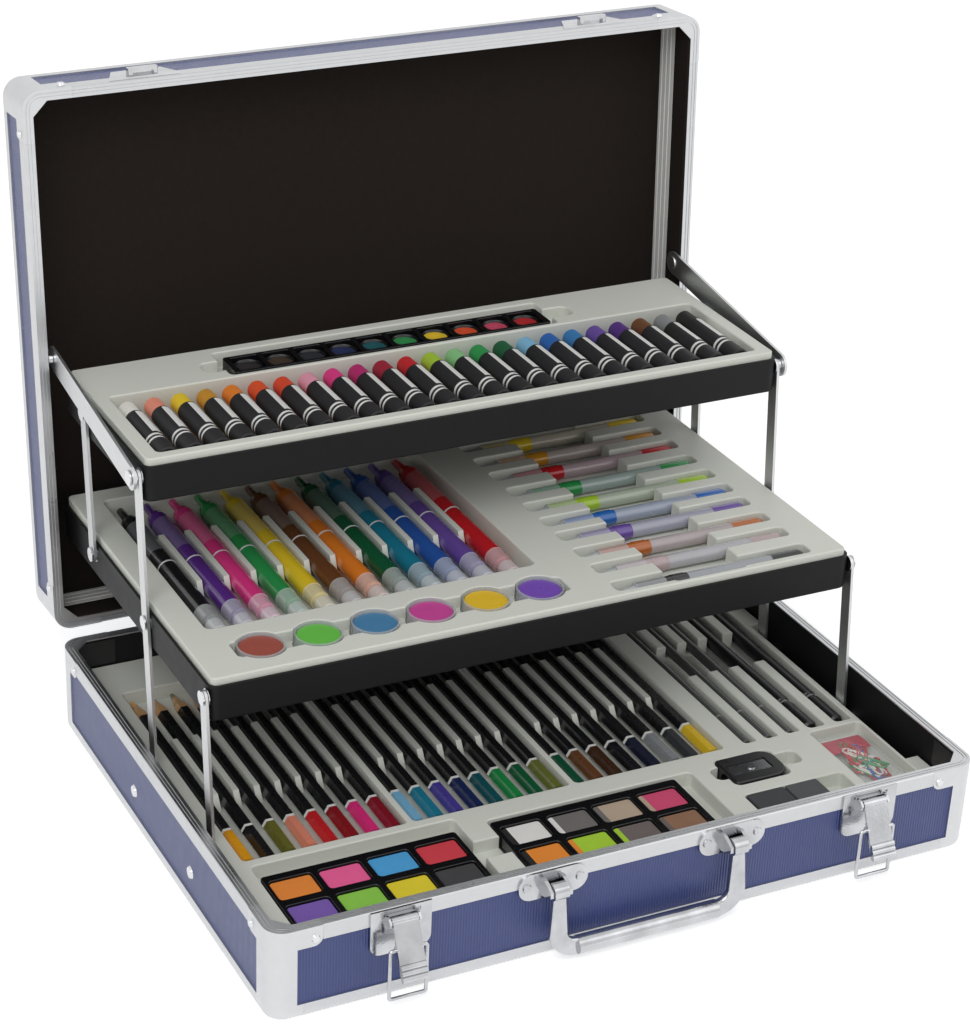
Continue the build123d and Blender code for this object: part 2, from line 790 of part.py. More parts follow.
def pencil(x, floor_z):
    """Hexagonal pencil with a turned point at the back."""
    centre = floor_z + pencil_flats / 2
    lead = 1.0
    with BuildPart() as piece:
        with BuildSketch(Plane(origin=(x, pencil_front, centre), x_dir=(1, 0, 0), z_dir=(0, 1, 0))):
            RegularPolygon(radius=pencil_flats / 2, side_count=6, major_radius=False)
        extrude(amount=pencil_back - pencil_front)
        with BuildSketch(Plane(origin=(x, 0, centre), x_dir=(1, 0, 0), z_dir=(0, 0, 1))):
            with BuildLine():
                Polyline(
                    (0, pencil_front - 1),
                    (5, pencil_front - 1),
                    (5, pencil_body_end - 2.5),
                    (lead, pencil_back),
                    (0, pencil_back),
                    close=True,
                )
            make_face()
        revolve(axis=Axis((x, 0, centre), (0, 1, 0)), mode=Mode.INTERSECT)
    return piece


for start, name in zip(pencil_starts, ("warm", "cool", "dark")):
    keep(
        joined([pencil(start + index * pencil_pitch, pencil_floor + seat) for index in range(pencil_count)]),
        f"pencils_{name}",
    )


def turned_stick(x, centre, steps, along=(0, 1, 0)):
    """Round stick along Y or X; steps are (place, radius) from one end to the other."""
    origin = (x, 0, centre) if along[1] else (0, x, centre)
    cross = Plane(origin=origin, x_dir=along, z_dir=(0, 0, 1))
    points = [(steps[0][0], 0)] + list(steps) + [(steps[-1][0], 0)]
    with BuildPart() as piece:
        with BuildSketch(cross):
            with BuildLine():
                Polyline(*points, close=True)
            make_face()
        revolve(axis=Axis(origin, along))
    return piece


stick_centre = base_insert_top - stick_depth + stick_radius + seat
thin_sticks = [
    turned_stick(x, stick_centre, ((-62.0, 2.6), (-61.4, stick_radius), (104.0, stick_radius), (104.6, 2.6)))
    for x in stick_places
]
brush_centre = base_insert_top - tool_depth + brush_radius + seat
black_tools = [
    turned_stick(
        x,
        brush_centre,
        (
            (-60.0, 3.4), (-58.5, brush_radius), (-36.0, brush_radius), (-35.0, 3.7), (-31.0, 3.7),
            (-30.0, brush_radius), (84.0, 3.9), (84.0, 3.2), (100.0, 2.6), (112.0, 0.8),
        ),
    )
    for x in brush_places
]
keep(joined(thin_sticks + black_tools), "drawing_sticks")

# Sharpener: D-shaped body with a slanted blade and its screw
sharpener_z = base_insert_top - sharpener_depth
sharpener_height = 11.0
with BuildPart() as sharpener:
    with BuildSketch(Plane(origin=(*sharpener_at, sharpener_z))) as outline:
        Rectangle(*sharpener_size)
        fillet(outline.vertices().sort_by(Axis.X)[-2:], 9.0)
        fillet(outline.vertices().sort_by(Axis.X)[:2], 2.0)
    extrude(amount=sharpener_height)
    fillet(sharpener.edges().group_by(Axis.Z)[-1], 1.0)
    with BuildSketch(Plane(origin=(sharpener_at[0] - 2, sharpener_at[1], sharpener_z + sharpener_height))):
        Rectangle(24.6, 10.6)
    extrude(amount=-1.4, mode=Mode.SUBTRACT)
    with BuildSketch(Plane(origin=(sharpener_at[0] - 17, sharpener_at[1], sharpener_z + 5.2),
                           x_dir=(0, 1, 0), z_dir=(1, 0, 0))):
        Circle(3.9)
    extrude(amount=26, taper=5, mode=Mode.SUBTRACT)
keep(sharpener, "sharpener")
blade_low = sharpener_z + sharpener_height - 1.4
with BuildPart() as sharpener_blade:
    with BuildSketch(Plane(origin=(sharpener_at[0] - 2, sharpener_at[1], blade_low))):
        Rectangle(24.0, 10.0)
    extrude(amount=0.8)
    with BuildSketch(Plane(origin=(sharpener_at[0] - 1, sharpener_at[1], blade_low + 0.8))):
        Circle(2.4)
        Rectangle(4.2, 0.8, mode=Mode.SUBTRACT)
    extrude(amount=0.6)
keep(sharpener_blade, "sharpener_blade")

eraser_z = base_insert_top - well_depth
with BuildPart() as erasers:
    for x_low, x_high, y_low, y_high in (eraser_first, eraser_second):
        eraser = block(x_low, x_high, y_low, y_high, eraser_z, base_insert_top + 0.6, 1.5)
        add(eraser.part)
    fillet(erasers.edges().group_by(Axis.Z)[-1], 0.8)
keep(erasers, "erasers")


# Watercolour palettes: black tray with a raised rim round each cake
def palette(limits, cakes):
    """Black tray with a well under each cake."""
    x_low, x_high, y_low, y_high = limits
    tray = block(x_low, x_high, y_low, y_high, palette_floor, palette_floor + palette_height, 2.0)
    columns, rows = cakes
    with BuildPart() as piece:
        add(tray.part)
        with BuildSketch(Plane.XY.offset(palette_floor + palette_base)):
            with Locations(*[(x, y) for x in columns for y in rows]):
                RectangleRounded(cake_width + 0.6, cake_depth + 0.6, 2.3)
        extrude(amount=palette_height, mode=Mode.SUBTRACT)
        fillet(piece.edges().group_by(Axis.Z)[-1], 0.5)
    return piece


def cake_blocks(cakes):
    """Cakes of colour, a little below the rims of their wells."""
    columns, rows = cakes
    with BuildPart() as piece:
        with BuildSketch(Plane.XY.offset(palette_floor + palette_base)):
            with Locations(*[(x, y) for x in columns for y in rows]):
                RectangleRounded(cake_width, cake_depth, 2.0)
        extrude(amount=palette_height - 2.9)
        fillet(piece.edges().group_by(Axis.Z)[-1], 0.8)
    return piece


keep(joined([palette(palette_one, cakes_one), palette(palette_two, cakes_two)]), "palettes")
keep(joined([cake_blocks(cakes_one), cake_blocks(cakes_two)]), "palette_cakes")

with BuildPart() as clip_bag:
    bag_x = (clip_bag_at[0] + clip_bag_at[1]) / 2
    bag_y = (clip_bag_at[2] + clip_bag_at[3]) / 2
    bag_z = base_insert_top - well_depth
    for level, shrink in ((0, 4.0), (3.2, 0), (7.0, 5.0)):
        with BuildSketch(Plane(origin=(bag_x, bag_y, bag_z + level))):
            RectangleRounded(
                clip_bag_at[1] - clip_bag_at[0] - 2 * shrink,
                clip_bag_at[3] - clip_bag_at[2] - 2 * shrink,
                3.0,
            )
    loft()
keep(clip_bag, "clip_bag")

# Middle tray insert and what lies in it
mid_floor = mid_bottom + tray_floor
marker_first = -163.0
marker_pitch = 15.6
marker_count = 12
marker_radius = 6.0
marker_floor = mid_insert_top - 2 * marker_radius - 0.5
pot_first = -152.0
pot_pitch = 32.3
pot_count = 6
pot_y = -16.0
pot_radius = 13.0
pot_height = 9.0
pen_places = (156.0, 135.0, 115.0, 93.0, 72.0, 52.0, 33.0, 12.0, -8.0, -30.0)
pen_radius = 4.5
pen_floor = mid_insert_top - 2 * pen_radius - 0.6
mid_slab = 2 * marker_radius + 2.4
mid_body = insert_body(insert_half_w, mid_front + insert_inset, mid_back - insert_inset,
                       mid_insert_top, mid_slab, mid_floor, insert_corner)
mid_recesses = [
    block(-172.0, 20.0, 9.0, 170.0, marker_floor, mid_insert_top + above, 4.0),
    block(pot_first - pot_radius - 2, pot_first + (pot_count - 1) * pot_pitch + pot_radius + 2,
          pot_y - 8.0, pot_y + 8.0, mid_insert_top - 7.0, mid_insert_top + above, 3.0),
    block(80.0, 127.0, -37.0, 163.5, pen_floor - 0.4, mid_insert_top + above, 4.0),
]
with BuildPart() as pot_wells:
    with BuildSketch(Plane.XY.offset(mid_insert_top - pot_height)):
        with Locations(*[(pot_first + index * pot_pitch, pot_y) for index in range(pot_count)]):
            Circle(pot_radius + 0.6)
    extrude(amount=pot_height + above)
mid_recesses.append(pot_wells)
mid_recesses += [
    block(46.5, 168.5, y - pen_radius - 1.0, y + pen_radius + 1.0, pen_floor, mid_insert_top + above, 3.0)
    for y in pen_places
]
marker_rib = marker_pitch - 2 * marker_radius - 0.4
mid_ribs = [
    sloped_rib(marker_first + (index + 0.5) * marker_pitch, marker_rib, 58.0, 126.0,
               marker_floor - 0.5, mid_insert_top - 1.5, 5.0)
    for index in range(marker_count - 1)
]
keep(moulded(mid_body, mid_recesses, mid_ribs, 0.9), "mid_tray_insert")

marker_centre = marker_floor + marker_radius + seat
marker_steps = (
    (12.0, 4.6), (13.0, 5.0), (22.0, 5.0), (22.0, 4.4), (26.0, 4.4), (26.0, 5.4), (36.0, 5.6), (36.0, 5.9),
    (90.0, 5.9), (90.0, marker_radius), (146.0, marker_radius), (150.0, 5.2), (152.0, 3.4),
    (152.0, 2.6), (166.0, 2.2), (167.0, 1.4),
)
keep(
    joined([
        turned_stick(marker_first + index * marker_pitch, marker_centre, marker_steps)
        for index in range(marker_count)
    ]),
    "markers",
)

pot_floor = mid_insert_top - pot_height
with BuildPart() as paint_pots:
    with BuildSketch(Plane.XY.offset(pot_floor)):
        with Locations(*[(pot_first + index * pot_pitch, pot_y) for index in range(pot_count)]):
            Circle(pot_radius)
    extrude(amount=pot_height + 0.1)
    with BuildSketch(Plane.XY.offset(pot_floor + 2.0)):
        with Locations(*[(pot_first + index * pot_pitch, pot_y) for index in range(pot_count)]):
            Circle(pot_radius - 1.0)
    extrude(amount=pot_height, mode=Mode.SUBTRACT)
keep(paint_pots, "paint_pots")
with BuildPart() as pot_paints:
    with BuildSketch(Plane.XY.offset(pot_floor + 2.0)):
        with Locations(*[(pot_first + index * pot_pitch, pot_y) for index in range(pot_count)]):
            Circle(pot_radius - 1.1)
    extrude(amount=pot_height - 3.4)
    fillet(pot_paints.edges().group_by(Axis.Z)[-1], 0.6)
keep(pot_paints, "pot_paints")

pen_centre = pen_floor + pen_radius + seat
pen_steps = (
    (50.0, 1.0), (60.0, 2.8), (60.0, 4.0), (82.0, 4.3), (82.0, pen_radius), (90.0, pen_radius), (90.0, 4.2),
    (145.0, 4.2), (145.0, 4.4), (163.0, 4.4), (165.0, 3.4),
)
keep(
    joined([turned_stick(y, pen_centre, pen_steps, along=(1, 0, 0)) for y in pen_places]),
    "gel_pens",
)

# Top tray insert and what lies in it
top_floor = top_bottom + tray_floor
pastel_first = -172.5
pastel_pitch = 15.0
pastel_count = 24
pastel_radius = 5.8
crayon_radius = 4.4
pastel_centre = top_insert_top - pastel_radius - 0.3
crayon_floor = top_floor + 1.2
crayon_centre = crayon_floor + crayon_radius + seat
strip_box = (-104.0, 92.0, 136.0, 158.0)
pan_count = 10
pan_pitch = 19.2
pan_size = (16.0, 17.0)
strip_floor = top_insert_top - 9.0
top_body = insert_body(insert_half_w, top_front + insert_inset, top_back - insert_inset,
                       top_insert_top, tray_height, top_floor, insert_corner)
top_recesses = [
    block(pastel_first - 7.6, pastel_first + (pastel_count - 1) * pastel_pitch + 7.6, 56.0, 130.5,
          crayon_floor, top_insert_top + above, 3.0),
    block(strip_box[0] - 4.0, strip_box[1] + 3.0, 133.5, 165.0, strip_floor, top_insert_top + above, 3.0),
    block(strip_box[0] - 16.0, strip_box[1] + 18.0, 141.0, 154.0, strip_floor + 2.0,
          top_insert_top + above, 5.0),
]
keep(moulded(top_body, top_recesses, [], 0.9), "top_tray_insert")

pastel_steps = (
    (60.0, 5.0), (60.5, pastel_radius), (74.0, pastel_radius), (74.0, 5.6), (80.0, 5.6),
    (80.0, pastel_radius), (110.0, pastel_radius), (110.0, 5.2), (123.0, 5.2), (124.0, 4.6),
)
keep(
    joined([
        turned_stick(pastel_first + index * pastel_pitch, pastel_centre, pastel_steps)
        for index in range(pastel_count)
    ]),
    "pastels",
)
crayon_steps = (
    (58.0, 1.4), (64.0, 2.6), (64.0, 3.9), (66.0, crayon_radius), (124.0, crayon_radius), (125.0, 3.8),
)
keep(
    joined([
        turned_stick(pastel_first + (index + 0.5) * pastel_pitch, crayon_centre, crayon_steps)
        for index in range(pastel_count - 1)
    ]),
    "crayons",
)

pan_middle = (strip_box[0] + strip_box[1]) / 2
pan_places = [
    (pan_middle + (index - (pan_count - 1) / 2) * pan_pitch, (strip_box[2] + strip_box[3]) / 2)
    for index in range(pan_count)
]
with BuildPart() as watercolour_box:
    box = block(*strip_box, strip_floor, top_insert_top - 0.4, 2.0)
    add(box.part)
    with BuildSketch(Plane.XY.offset(strip_floor + 2.0)):
        with Locations(*pan_places):
            RectangleRounded(pan_size[0] + 0.4, pan_size[1] + 0.4, 1.6)
    extrude(amount=12, mode=Mode.SUBTRACT)
    fillet(watercolour_box.edges().group_by(Axis.Z)[-1], 0.4)
keep(watercolour_box, "watercolour_box")
with BuildPart() as watercolour_pans:
    with BuildSketch(Plane.XY.offset(strip_floor + 2.0)):
        with Locations(*pan_places):
            RectangleRounded(*pan_size, 1.4)
    extrude(amount=5.2)
    fillet(watercolour_pans.edges().group_by(Axis.Z)[-1], 0.6)
keep(watercolour_pans, "watercolour_pans")

# Latches on the base's front face
latch_places = (-136.0, 136.0)
latch_width = 33.0
plate_low = 27.0
plate_thick = 1.2
lever_pin = (-(half_d + 4.5), 47.5)
lever_pin_radius = 1.2
lever_tilt = 25.0
lever_half = 7.0
lever_length = 29.5
bail_reach = 14.0       # bail pivot below the lever's pivot
bail_length = 28.85
wire = 1.0              # radius of the bail's wire
bail_half = 10.0
ear_inner = 7.4
ear_thick = 1.2
face_y = half_d + plate_thick

with BuildPart() as latch_plates:
    for place in latch_places:
        with BuildSketch(face_plane(base_frame, FRONT, half_d)) as outline:
            with Locations((place, (plate_low + base_height) / 2 - 0.1)):
                Rectangle(latch_width, base_height - plate_low - 0.2)
            fillet(outline.vertices().sort_by(Axis.Y)[:2], 6.0)
        extrude(amount=plate_thick)
        with BuildSketch(face_plane(base_frame, FRONT, half_d - metal)):
            with Locations((place, (plate_low + 3 + base_height - rim_leg) / 2)):
                Rectangle(latch_width - 8, base_height - rim_leg - plate_low - 3)
        extrude(amount=metal)
        with BuildSketch(face_plane(base_frame, FRONT, half_d)):
            with Locations((place, base_height - 3.2)):
                Rectangle(latch_width - 12, 2.2)
        extrude(amount=plate_thick, mode=Mode.SUBTRACT)
        for side in (-1, 1):
            ear_from = place + (ear_inner if side > 0 else -ear_inner - ear_thick)
            with BuildSketch(Plane.YZ.offset(ear_from)):
                with BuildLine():
                    Polyline(
                        (-face_y, lever_pin[1] - 5.5),
                        (-face_y, lever_pin[1] + 2.4),
                        (lever_pin[0], lever_pin[1] + 2.4),
                        (lever_pin[0] - 2.4, lever_pin[1]),
                        (lever_pin[0] - 1.2, lever_pin[1] - 2.4),
                        close=True,
                    )
                make_face()
            extrude(amount=ear_thick)
with BuildPart() as latch_pins:
    for place in latch_places:
        with BuildSketch(Plane(origin=(place - ear_inner, *lever_pin), x_dir=(0, 1, 0), z_dir=(1, 0, 0))):
            Circle(lever_pin_radius)
        extrude(amount=2 * ear_inner)
keep(joined([latch_plates, latch_pins]), "latch_plates")

lever_axis = Vector(0, -sin(radians(lever_tilt)), -cos(radians(lever_tilt)))
lever_out = Vector(0, -cos(radians(lever_tilt)), sin(radians(lever_tilt)))
bail_pivot = (
    lever_pin[0] + bail_reach * lever_axis.Y,
    lever_pin[1] + bail_reach * lever_axis.Z,
)


def lever(place):
    """Lever in its side view: local x runs down the lever, local y outward."""
    side_view = Plane(
        origin=(place - lever_half, *lever_pin),
        x_dir=lever_axis,
        z_dir=lever_axis.cross(lever_out),
    )
    reach = 2 * lever_half * side_view.z_dir.X
    with BuildPart() as piece:
        with BuildSketch(side_view):
            Circle(2.3)
            with Locations((lever_length / 2, 1.5)):
                Rectangle(lever_length, 1.3)
            with Locations(*[(lever_length - 6.6 + index * 2.9, 2.2) for index in range(3)]):
                Circle(1.6)
            Circle(lever_pin_radius + running, mode=Mode.SUBTRACT)
        extrude(amount=reach)
        for low in (0, 2 * lever_half - 1.3):
            with BuildSketch(side_view.offset(side_view.z_dir.X * low)):
                with Locations((bail_reach, 0)):
                    Circle(2.3)
                with Locations((bail_reach, 1)):
                    Rectangle(8.0, 2.0)
            extrude(amount=side_view.z_dir.X * 1.3)
        with BuildSketch(side_view):
            with Locations((bail_reach, 0)):
                Circle(wire + running)
        extrude(amount=reach, mode=Mode.SUBTRACT)
    return piece


def bail(place):
    """Wire loop that hangs from the lever, its ends turned in through the lever's cheeks."""
    y, z = bail_pivot
    bend = 3.0
    bottom = z - bail_length
    with BuildPart() as loop:
        with BuildLine(Plane(origin=(place, y, 0), x_dir=(1, 0, 0), z_dir=(0, -1, 0))) as path:
            FilletPolyline(
                (-lever_half + 1.5, z),
                (-bail_half, z),
                (-bail_half, bottom),
                (bail_half, bottom),
                (bail_half, z),
                (lever_half - 1.5, z),
                radius=1.2,
            )
        with BuildSketch(Plane(origin=(place - lever_half + 1.5, y, z), x_dir=(0, 1, 0), z_dir=(-1, 0, 0))):
            Circle(wire)
        sweep(path=path.line)
    return loop


for place, name in zip(latch_places, ("left", "right")):
    keep(lever(place), f"latch_lever_{name}")
    keep(bail(place), f"latch_bail_{name}")

# Catches on the lid's front face
boss_half = 8.5
boss_low = lid_foot + 3.0
boss_high = 61.0
boss_out = half_d + 5.0
with BuildPart() as lid_catches:
    for place in latch_places:
        with BuildSketch(face_plane(lid_frame, FRONT, half_d)):
            with BuildLine():
                Polyline(
                    (place - 20.0, lid_foot + 1.2),
                    (place + 20.0, lid_foot + 1.2),
                    (place + 14.0, lid_foot + 15.5),
                    (place - 14.0, lid_foot + 15.5),
                    close=True,
                )
            make_face()
        extrude(amount=plate_thick)
        with BuildSketch(face_plane(lid_frame, FRONT, half_d - metal)):
            with Locations((place, lid_foot + rim_leg + 3.2)):
                Rectangle(24.0, 6.0)
        extrude(amount=metal)
        with BuildSketch(face_plane(lid_frame, FRONT, half_d)) as boss:
            with Locations((place, (boss_low + boss_high) / 2)):
                Rectangle(2 * boss_half, boss_high - boss_low)
            fillet(boss.vertices(), 1.2)
        extrude(amount=boss_out - half_d)
        with BuildSketch(face_plane(lid_frame, FRONT, half_d + plate_thick)):
            with Locations((place, boss_low)):
                Rectangle(2 * boss_half - 5.0, 4.0)
        extrude(amount=2.2, mode=Mode.SUBTRACT)
keep(lid_catches, "lid_catches")

# Carrying handle on two brackets
handle_places = (-52.0, 52.0)
bracket_width = 39.0
bracket_bottom = 37.0
handle_pin = (-(half_d + 7.0), 43.5)
handle_pin_radius = 1.5
eye_half = 4.0
eye_radius = 4.6
grip_radius = 5.0
grip_centre = (-(half_d + 8.8), 8.5)
arm_flat = 10.0
arm_deep = 4.4

with BuildPart() as handle_brackets:
    for place in handle_places:
        with BuildSketch(face_plane(base_frame, FRONT, half_d)) as outline:
            with Locations((place, (bracket_bottom + base_height - 0.4) / 2)):
                RectangleRounded(bracket_width, base_height - 0.4 - bracket_bottom, 7.4)
        extrude(amount=plate_thick)
        with BuildSketch(face_plane(base_frame, FRONT, half_d - metal)):
            with Locations((place, (bracket_bottom + 1.5 + base_height - rim_leg) / 2)):
                Rectangle(bracket_width - 14, base_height - rim_leg - bracket_bottom - 1.5)
        extrude(amount=metal)
        for side in (-1, 1):
            ear_from = place + (eye_half + clear if side > 0 else -eye_half - clear - 2.0)
            with BuildSketch(Plane.YZ.offset(ear_from)):
                with BuildLine():
                    Polyline(
                        (handle_pin[0] - 3.2, handle_pin[1]),
                        (handle_pin[0] - 3.2, handle_pin[1] - 1.6),
                        (handle_pin[0], handle_pin[1] - 3.2),
                        (-face_y, handle_pin[1] - 5.0),
                        (-face_y, handle_pin[1] + 5.0),
                        (handle_pin[0], handle_pin[1] + 3.2),
                        (handle_pin[0] - 3.2, handle_pin[1] + 1.6),
                        close=True,
                    )
                make_face()
            extrude(amount=2.0)
        with BuildSketch(face_plane(base_frame, FRONT, face_y)):
            with Locations((place - 15.0, 45.0), (place + 15.0, 45.0)):
                Circle(2.6)
        extrude(amount=0.9, taper=25)
with BuildPart() as handle_pins:
    for place in handle_places:
        low = place - eye_half - clear
        with BuildSketch(Plane(origin=(low, *handle_pin), x_dir=(0, 1, 0), z_dir=(1, 0, 0))):
            Circle(handle_pin_radius)
        extrude(amount=2 * (eye_half + clear))
keep(joined([handle_brackets, handle_pins]), "handle_brackets")

handle_bend = 11.0
with BuildPart() as handle:
    for place in handle_places:
        inward = 1 if place < 0 else -1
        with BuildSketch(Plane(origin=(place - eye_half, *handle_pin), x_dir=(0, 1, 0), z_dir=(1, 0, 0))):
            Circle(eye_radius)
        extrude(amount=2 * eye_half)
        arm_low = grip_centre[1] + handle_bend
        with BuildSketch(Plane(origin=(place, handle_pin[0] - 0.5, handle_pin[1] - 3.0), z_dir=(0, 0, -1))):
            RectangleRounded(2 * eye_half - 0.6, arm_deep, 1.6)
        with BuildSketch(Plane(origin=(place, grip_centre[0], arm_low), z_dir=(0, 0, -1))):
            RectangleRounded(arm_flat, arm_deep, 1.6)
        loft()
        with BuildLine(Plane(origin=(place, grip_centre[0], 0), x_dir=(1, 0, 0), z_dir=(0, -1, 0))) as path:
            RadiusArc(
                (0, arm_low),
                (inward * handle_bend, grip_centre[1]),
                handle_bend if inward < 0 else -handle_bend,
            )
        with BuildSketch(Plane(origin=(place, grip_centre[0], arm_low), z_dir=(0, 0, -1))):
            RectangleRounded(arm_flat, arm_deep, 1.6)
        sweep(path=path.line)
    grip_start = (handle_places[0] + handle_bend, *grip_centre)
    with BuildSketch(Plane(origin=grip_start, x_dir=(0, 1, 0), z_dir=(1, 0, 0))):
        Circle(grip_radius)
    extrude(amount=2 * (handle_places[1] - handle_bend))
    for place in handle_places:
        with BuildSketch(Plane(origin=(place - eye_half - 1, *handle_pin), x_dir=(0, 1, 0), z_dir=(1, 0, 0))):
            Circle(handle_pin_radius + running)
        extrude(amount=2 * eye_half + 2, mode=Mode.SUBTRACT)
keep(handle, "handle")
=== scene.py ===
"""Looks of an open drawing set case with two raised trays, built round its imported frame."""

import logging
import math
import random
from dataclasses import dataclass, field
from enum import Enum
from typing import Any

import bpy
from mathutils import Matrix, Vector

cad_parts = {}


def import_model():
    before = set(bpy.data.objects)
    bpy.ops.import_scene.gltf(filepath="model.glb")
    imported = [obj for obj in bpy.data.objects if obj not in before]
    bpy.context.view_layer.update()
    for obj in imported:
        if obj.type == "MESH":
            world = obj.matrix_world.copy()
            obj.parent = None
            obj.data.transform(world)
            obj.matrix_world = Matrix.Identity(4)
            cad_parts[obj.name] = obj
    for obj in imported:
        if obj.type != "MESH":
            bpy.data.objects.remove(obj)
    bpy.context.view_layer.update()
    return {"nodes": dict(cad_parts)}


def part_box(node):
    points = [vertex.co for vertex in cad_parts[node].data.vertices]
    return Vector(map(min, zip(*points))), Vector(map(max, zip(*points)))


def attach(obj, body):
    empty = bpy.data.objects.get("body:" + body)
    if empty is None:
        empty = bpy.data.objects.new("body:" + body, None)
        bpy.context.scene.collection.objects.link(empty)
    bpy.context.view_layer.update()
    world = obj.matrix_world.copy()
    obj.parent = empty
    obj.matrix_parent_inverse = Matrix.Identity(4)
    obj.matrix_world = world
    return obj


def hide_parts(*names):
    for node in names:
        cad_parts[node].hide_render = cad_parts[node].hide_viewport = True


LOG = logging.getLogger("drawing_case")
MM = 0.001
IMAGE_WIDTH = 970
SENSOR = 36.0
WHITE = (1.0, 1.0, 1.0, 1.0)
NO_COLOUR = (0.0, 0.0, 0.0, 0.0)
# Places of the colour sockets on the mix node, whose socket names repeat for every kind of value.
MIX_INPUTS = (0, 6, 7)
MIX_RESULT = 2


class Along(Enum):
    """Direction in which bands, rows or ribs follow each other."""

    X = (1.0, 0.0, 0.0)
    Y = (0.0, 1.0, 0.0)
    LEVEL = (1.0, 1.0, 0.0)
    UPRIGHT = (1.0, 0.0, 1.0)


def linear(code: str) -> tuple[float, float, float, float]:
    """Turn a written colour into the linear values that shaders use.

    Args:
        code: Six hexadecimal digits after a hash sign, or eight where the last two are the cover.

    Returns:
        Red, green, blue and the cover, which is full where none is given.
    """
    parts = [int(code[i : i + 2], 16) / 255 for i in (1, 3, 5)]
    red, green, blue = (p / 12.92 if p <= 0.04045 else ((p + 0.055) / 1.055) ** 2.4 for p in parts)
    cover = int(code[7:9], 16) / 255 if len(code) > 7 else 1.0
    return red, green, blue, cover


def clamp(value: float, low: float, high: float) -> float:
    """Return the value, or the limit that it passes."""
    return max(low, min(high, value))


def add_mesh(name: str, points: list[Any], faces: list[tuple[int, ...]], smooth: bool = True) -> Any:
    """Make a mesh object and put it in the scene.

    Args:
        name: Name of the mesh and of its object.
        points: Places of the corners in metres.
        faces: Corner numbers of each face.
        smooth: Whether the faces are shaded smoothly.

    Returns:
        The object, still without a material.
    """
    mesh = bpy.data.meshes.new(name)
    mesh.from_pydata(points, [], faces)
    for polygon in mesh.polygons:
        polygon.use_smooth = smooth
    made = bpy.data.objects.new(name, mesh)
    bpy.context.scene.collection.objects.link(made)
    return made


@dataclass
class Graph:
    """A node tree with short ways to add and join nodes."""

    tree: Any

    def node(self, kind: str, **settings: Any) -> Any:
        """Add a node.

        Args:
            kind: Type of the node.
            **settings: Properties to set on it.

        Returns:
            The new node.
        """
        made = self.tree.nodes.new(kind)
        for name, value in settings.items():
            setattr(made, name, value)
        return made

    def feed(self, socket: Any, value: Any) -> None:
        """Link a socket into another, or set its plain value.

        Args:
            socket: Input that takes the value.
            value: Output socket, number, vector or colour.
        """
        if isinstance(value, bpy.types.NodeSocket):
            self.tree.links.new(value, socket)
        else:
            socket.default_value = value

    def math(self, operation: str, *values: Any) -> Any:
        """Work out one number from others.

        Args:
            operation: Name of the sum.
            *values: Numbers or sockets, in the order that the sum takes them.

        Returns:
            The socket with the result.
        """
        made = self.node("ShaderNodeMath", operation=operation)
        for socket, value in zip(made.inputs, values):
            self.feed(socket, value)
        return made.outputs[0]

    def mix(self, factor: Any, first: Any, second: Any, blend: str = "MIX") -> Any:
        """Mix two colours.

        Args:
            factor: Share of the second colour.
            first: Colour at share 0, or its socket.
            second: Colour at share 1, or its socket.
            blend: Way of mixing.

        Returns:
            The socket with the mixed colour.
        """
        made = self.node("ShaderNodeMix", data_type="RGBA", blend_type=blend)
        for index, value in zip(MIX_INPUTS, (factor, first, second)):
            self.feed(made.inputs[index], value)
        return made.outputs[MIX_RESULT]

    def place(self, axis: Any) -> Any:
        """Find how far a surface point lies along an axis of the case.

        Args:
            axis: Direction of the axis, or its socket.

        Returns:
            The socket with the distance in metres.
        """
        where = self.node("ShaderNodeTexCoord")
        dot = self.node("ShaderNodeVectorMath", operation="DOT_PRODUCT")
        self.feed(dot.inputs[0], where.outputs["Object"])
        self.feed(dot.inputs[1], axis)
        return dot.outputs["Value"]


def new_group(name: str, inputs: dict[str, str], outputs: dict[str, str]) -> tuple[Graph, Any, Any]:
    """Start a shader group with named sockets.

    Args:
        name: The group's name.
        inputs: Socket kind by input name.
        outputs: Socket kind by output name.

    Returns:
        Its graph, its input node and its output node.
    """
    tree = bpy.data.node_groups.new(name, "ShaderNodeTree")
    for side, sockets in (("INPUT", inputs), ("OUTPUT", outputs)):
        for socket, kind in sockets.items():
            tree.interface.new_socket(name=socket, in_out=side, socket_type=f"NodeSocket{kind}")
    graph = Graph(tree)
    return graph, graph.node("NodeGroupInput"), graph.node("NodeGroupOutput")


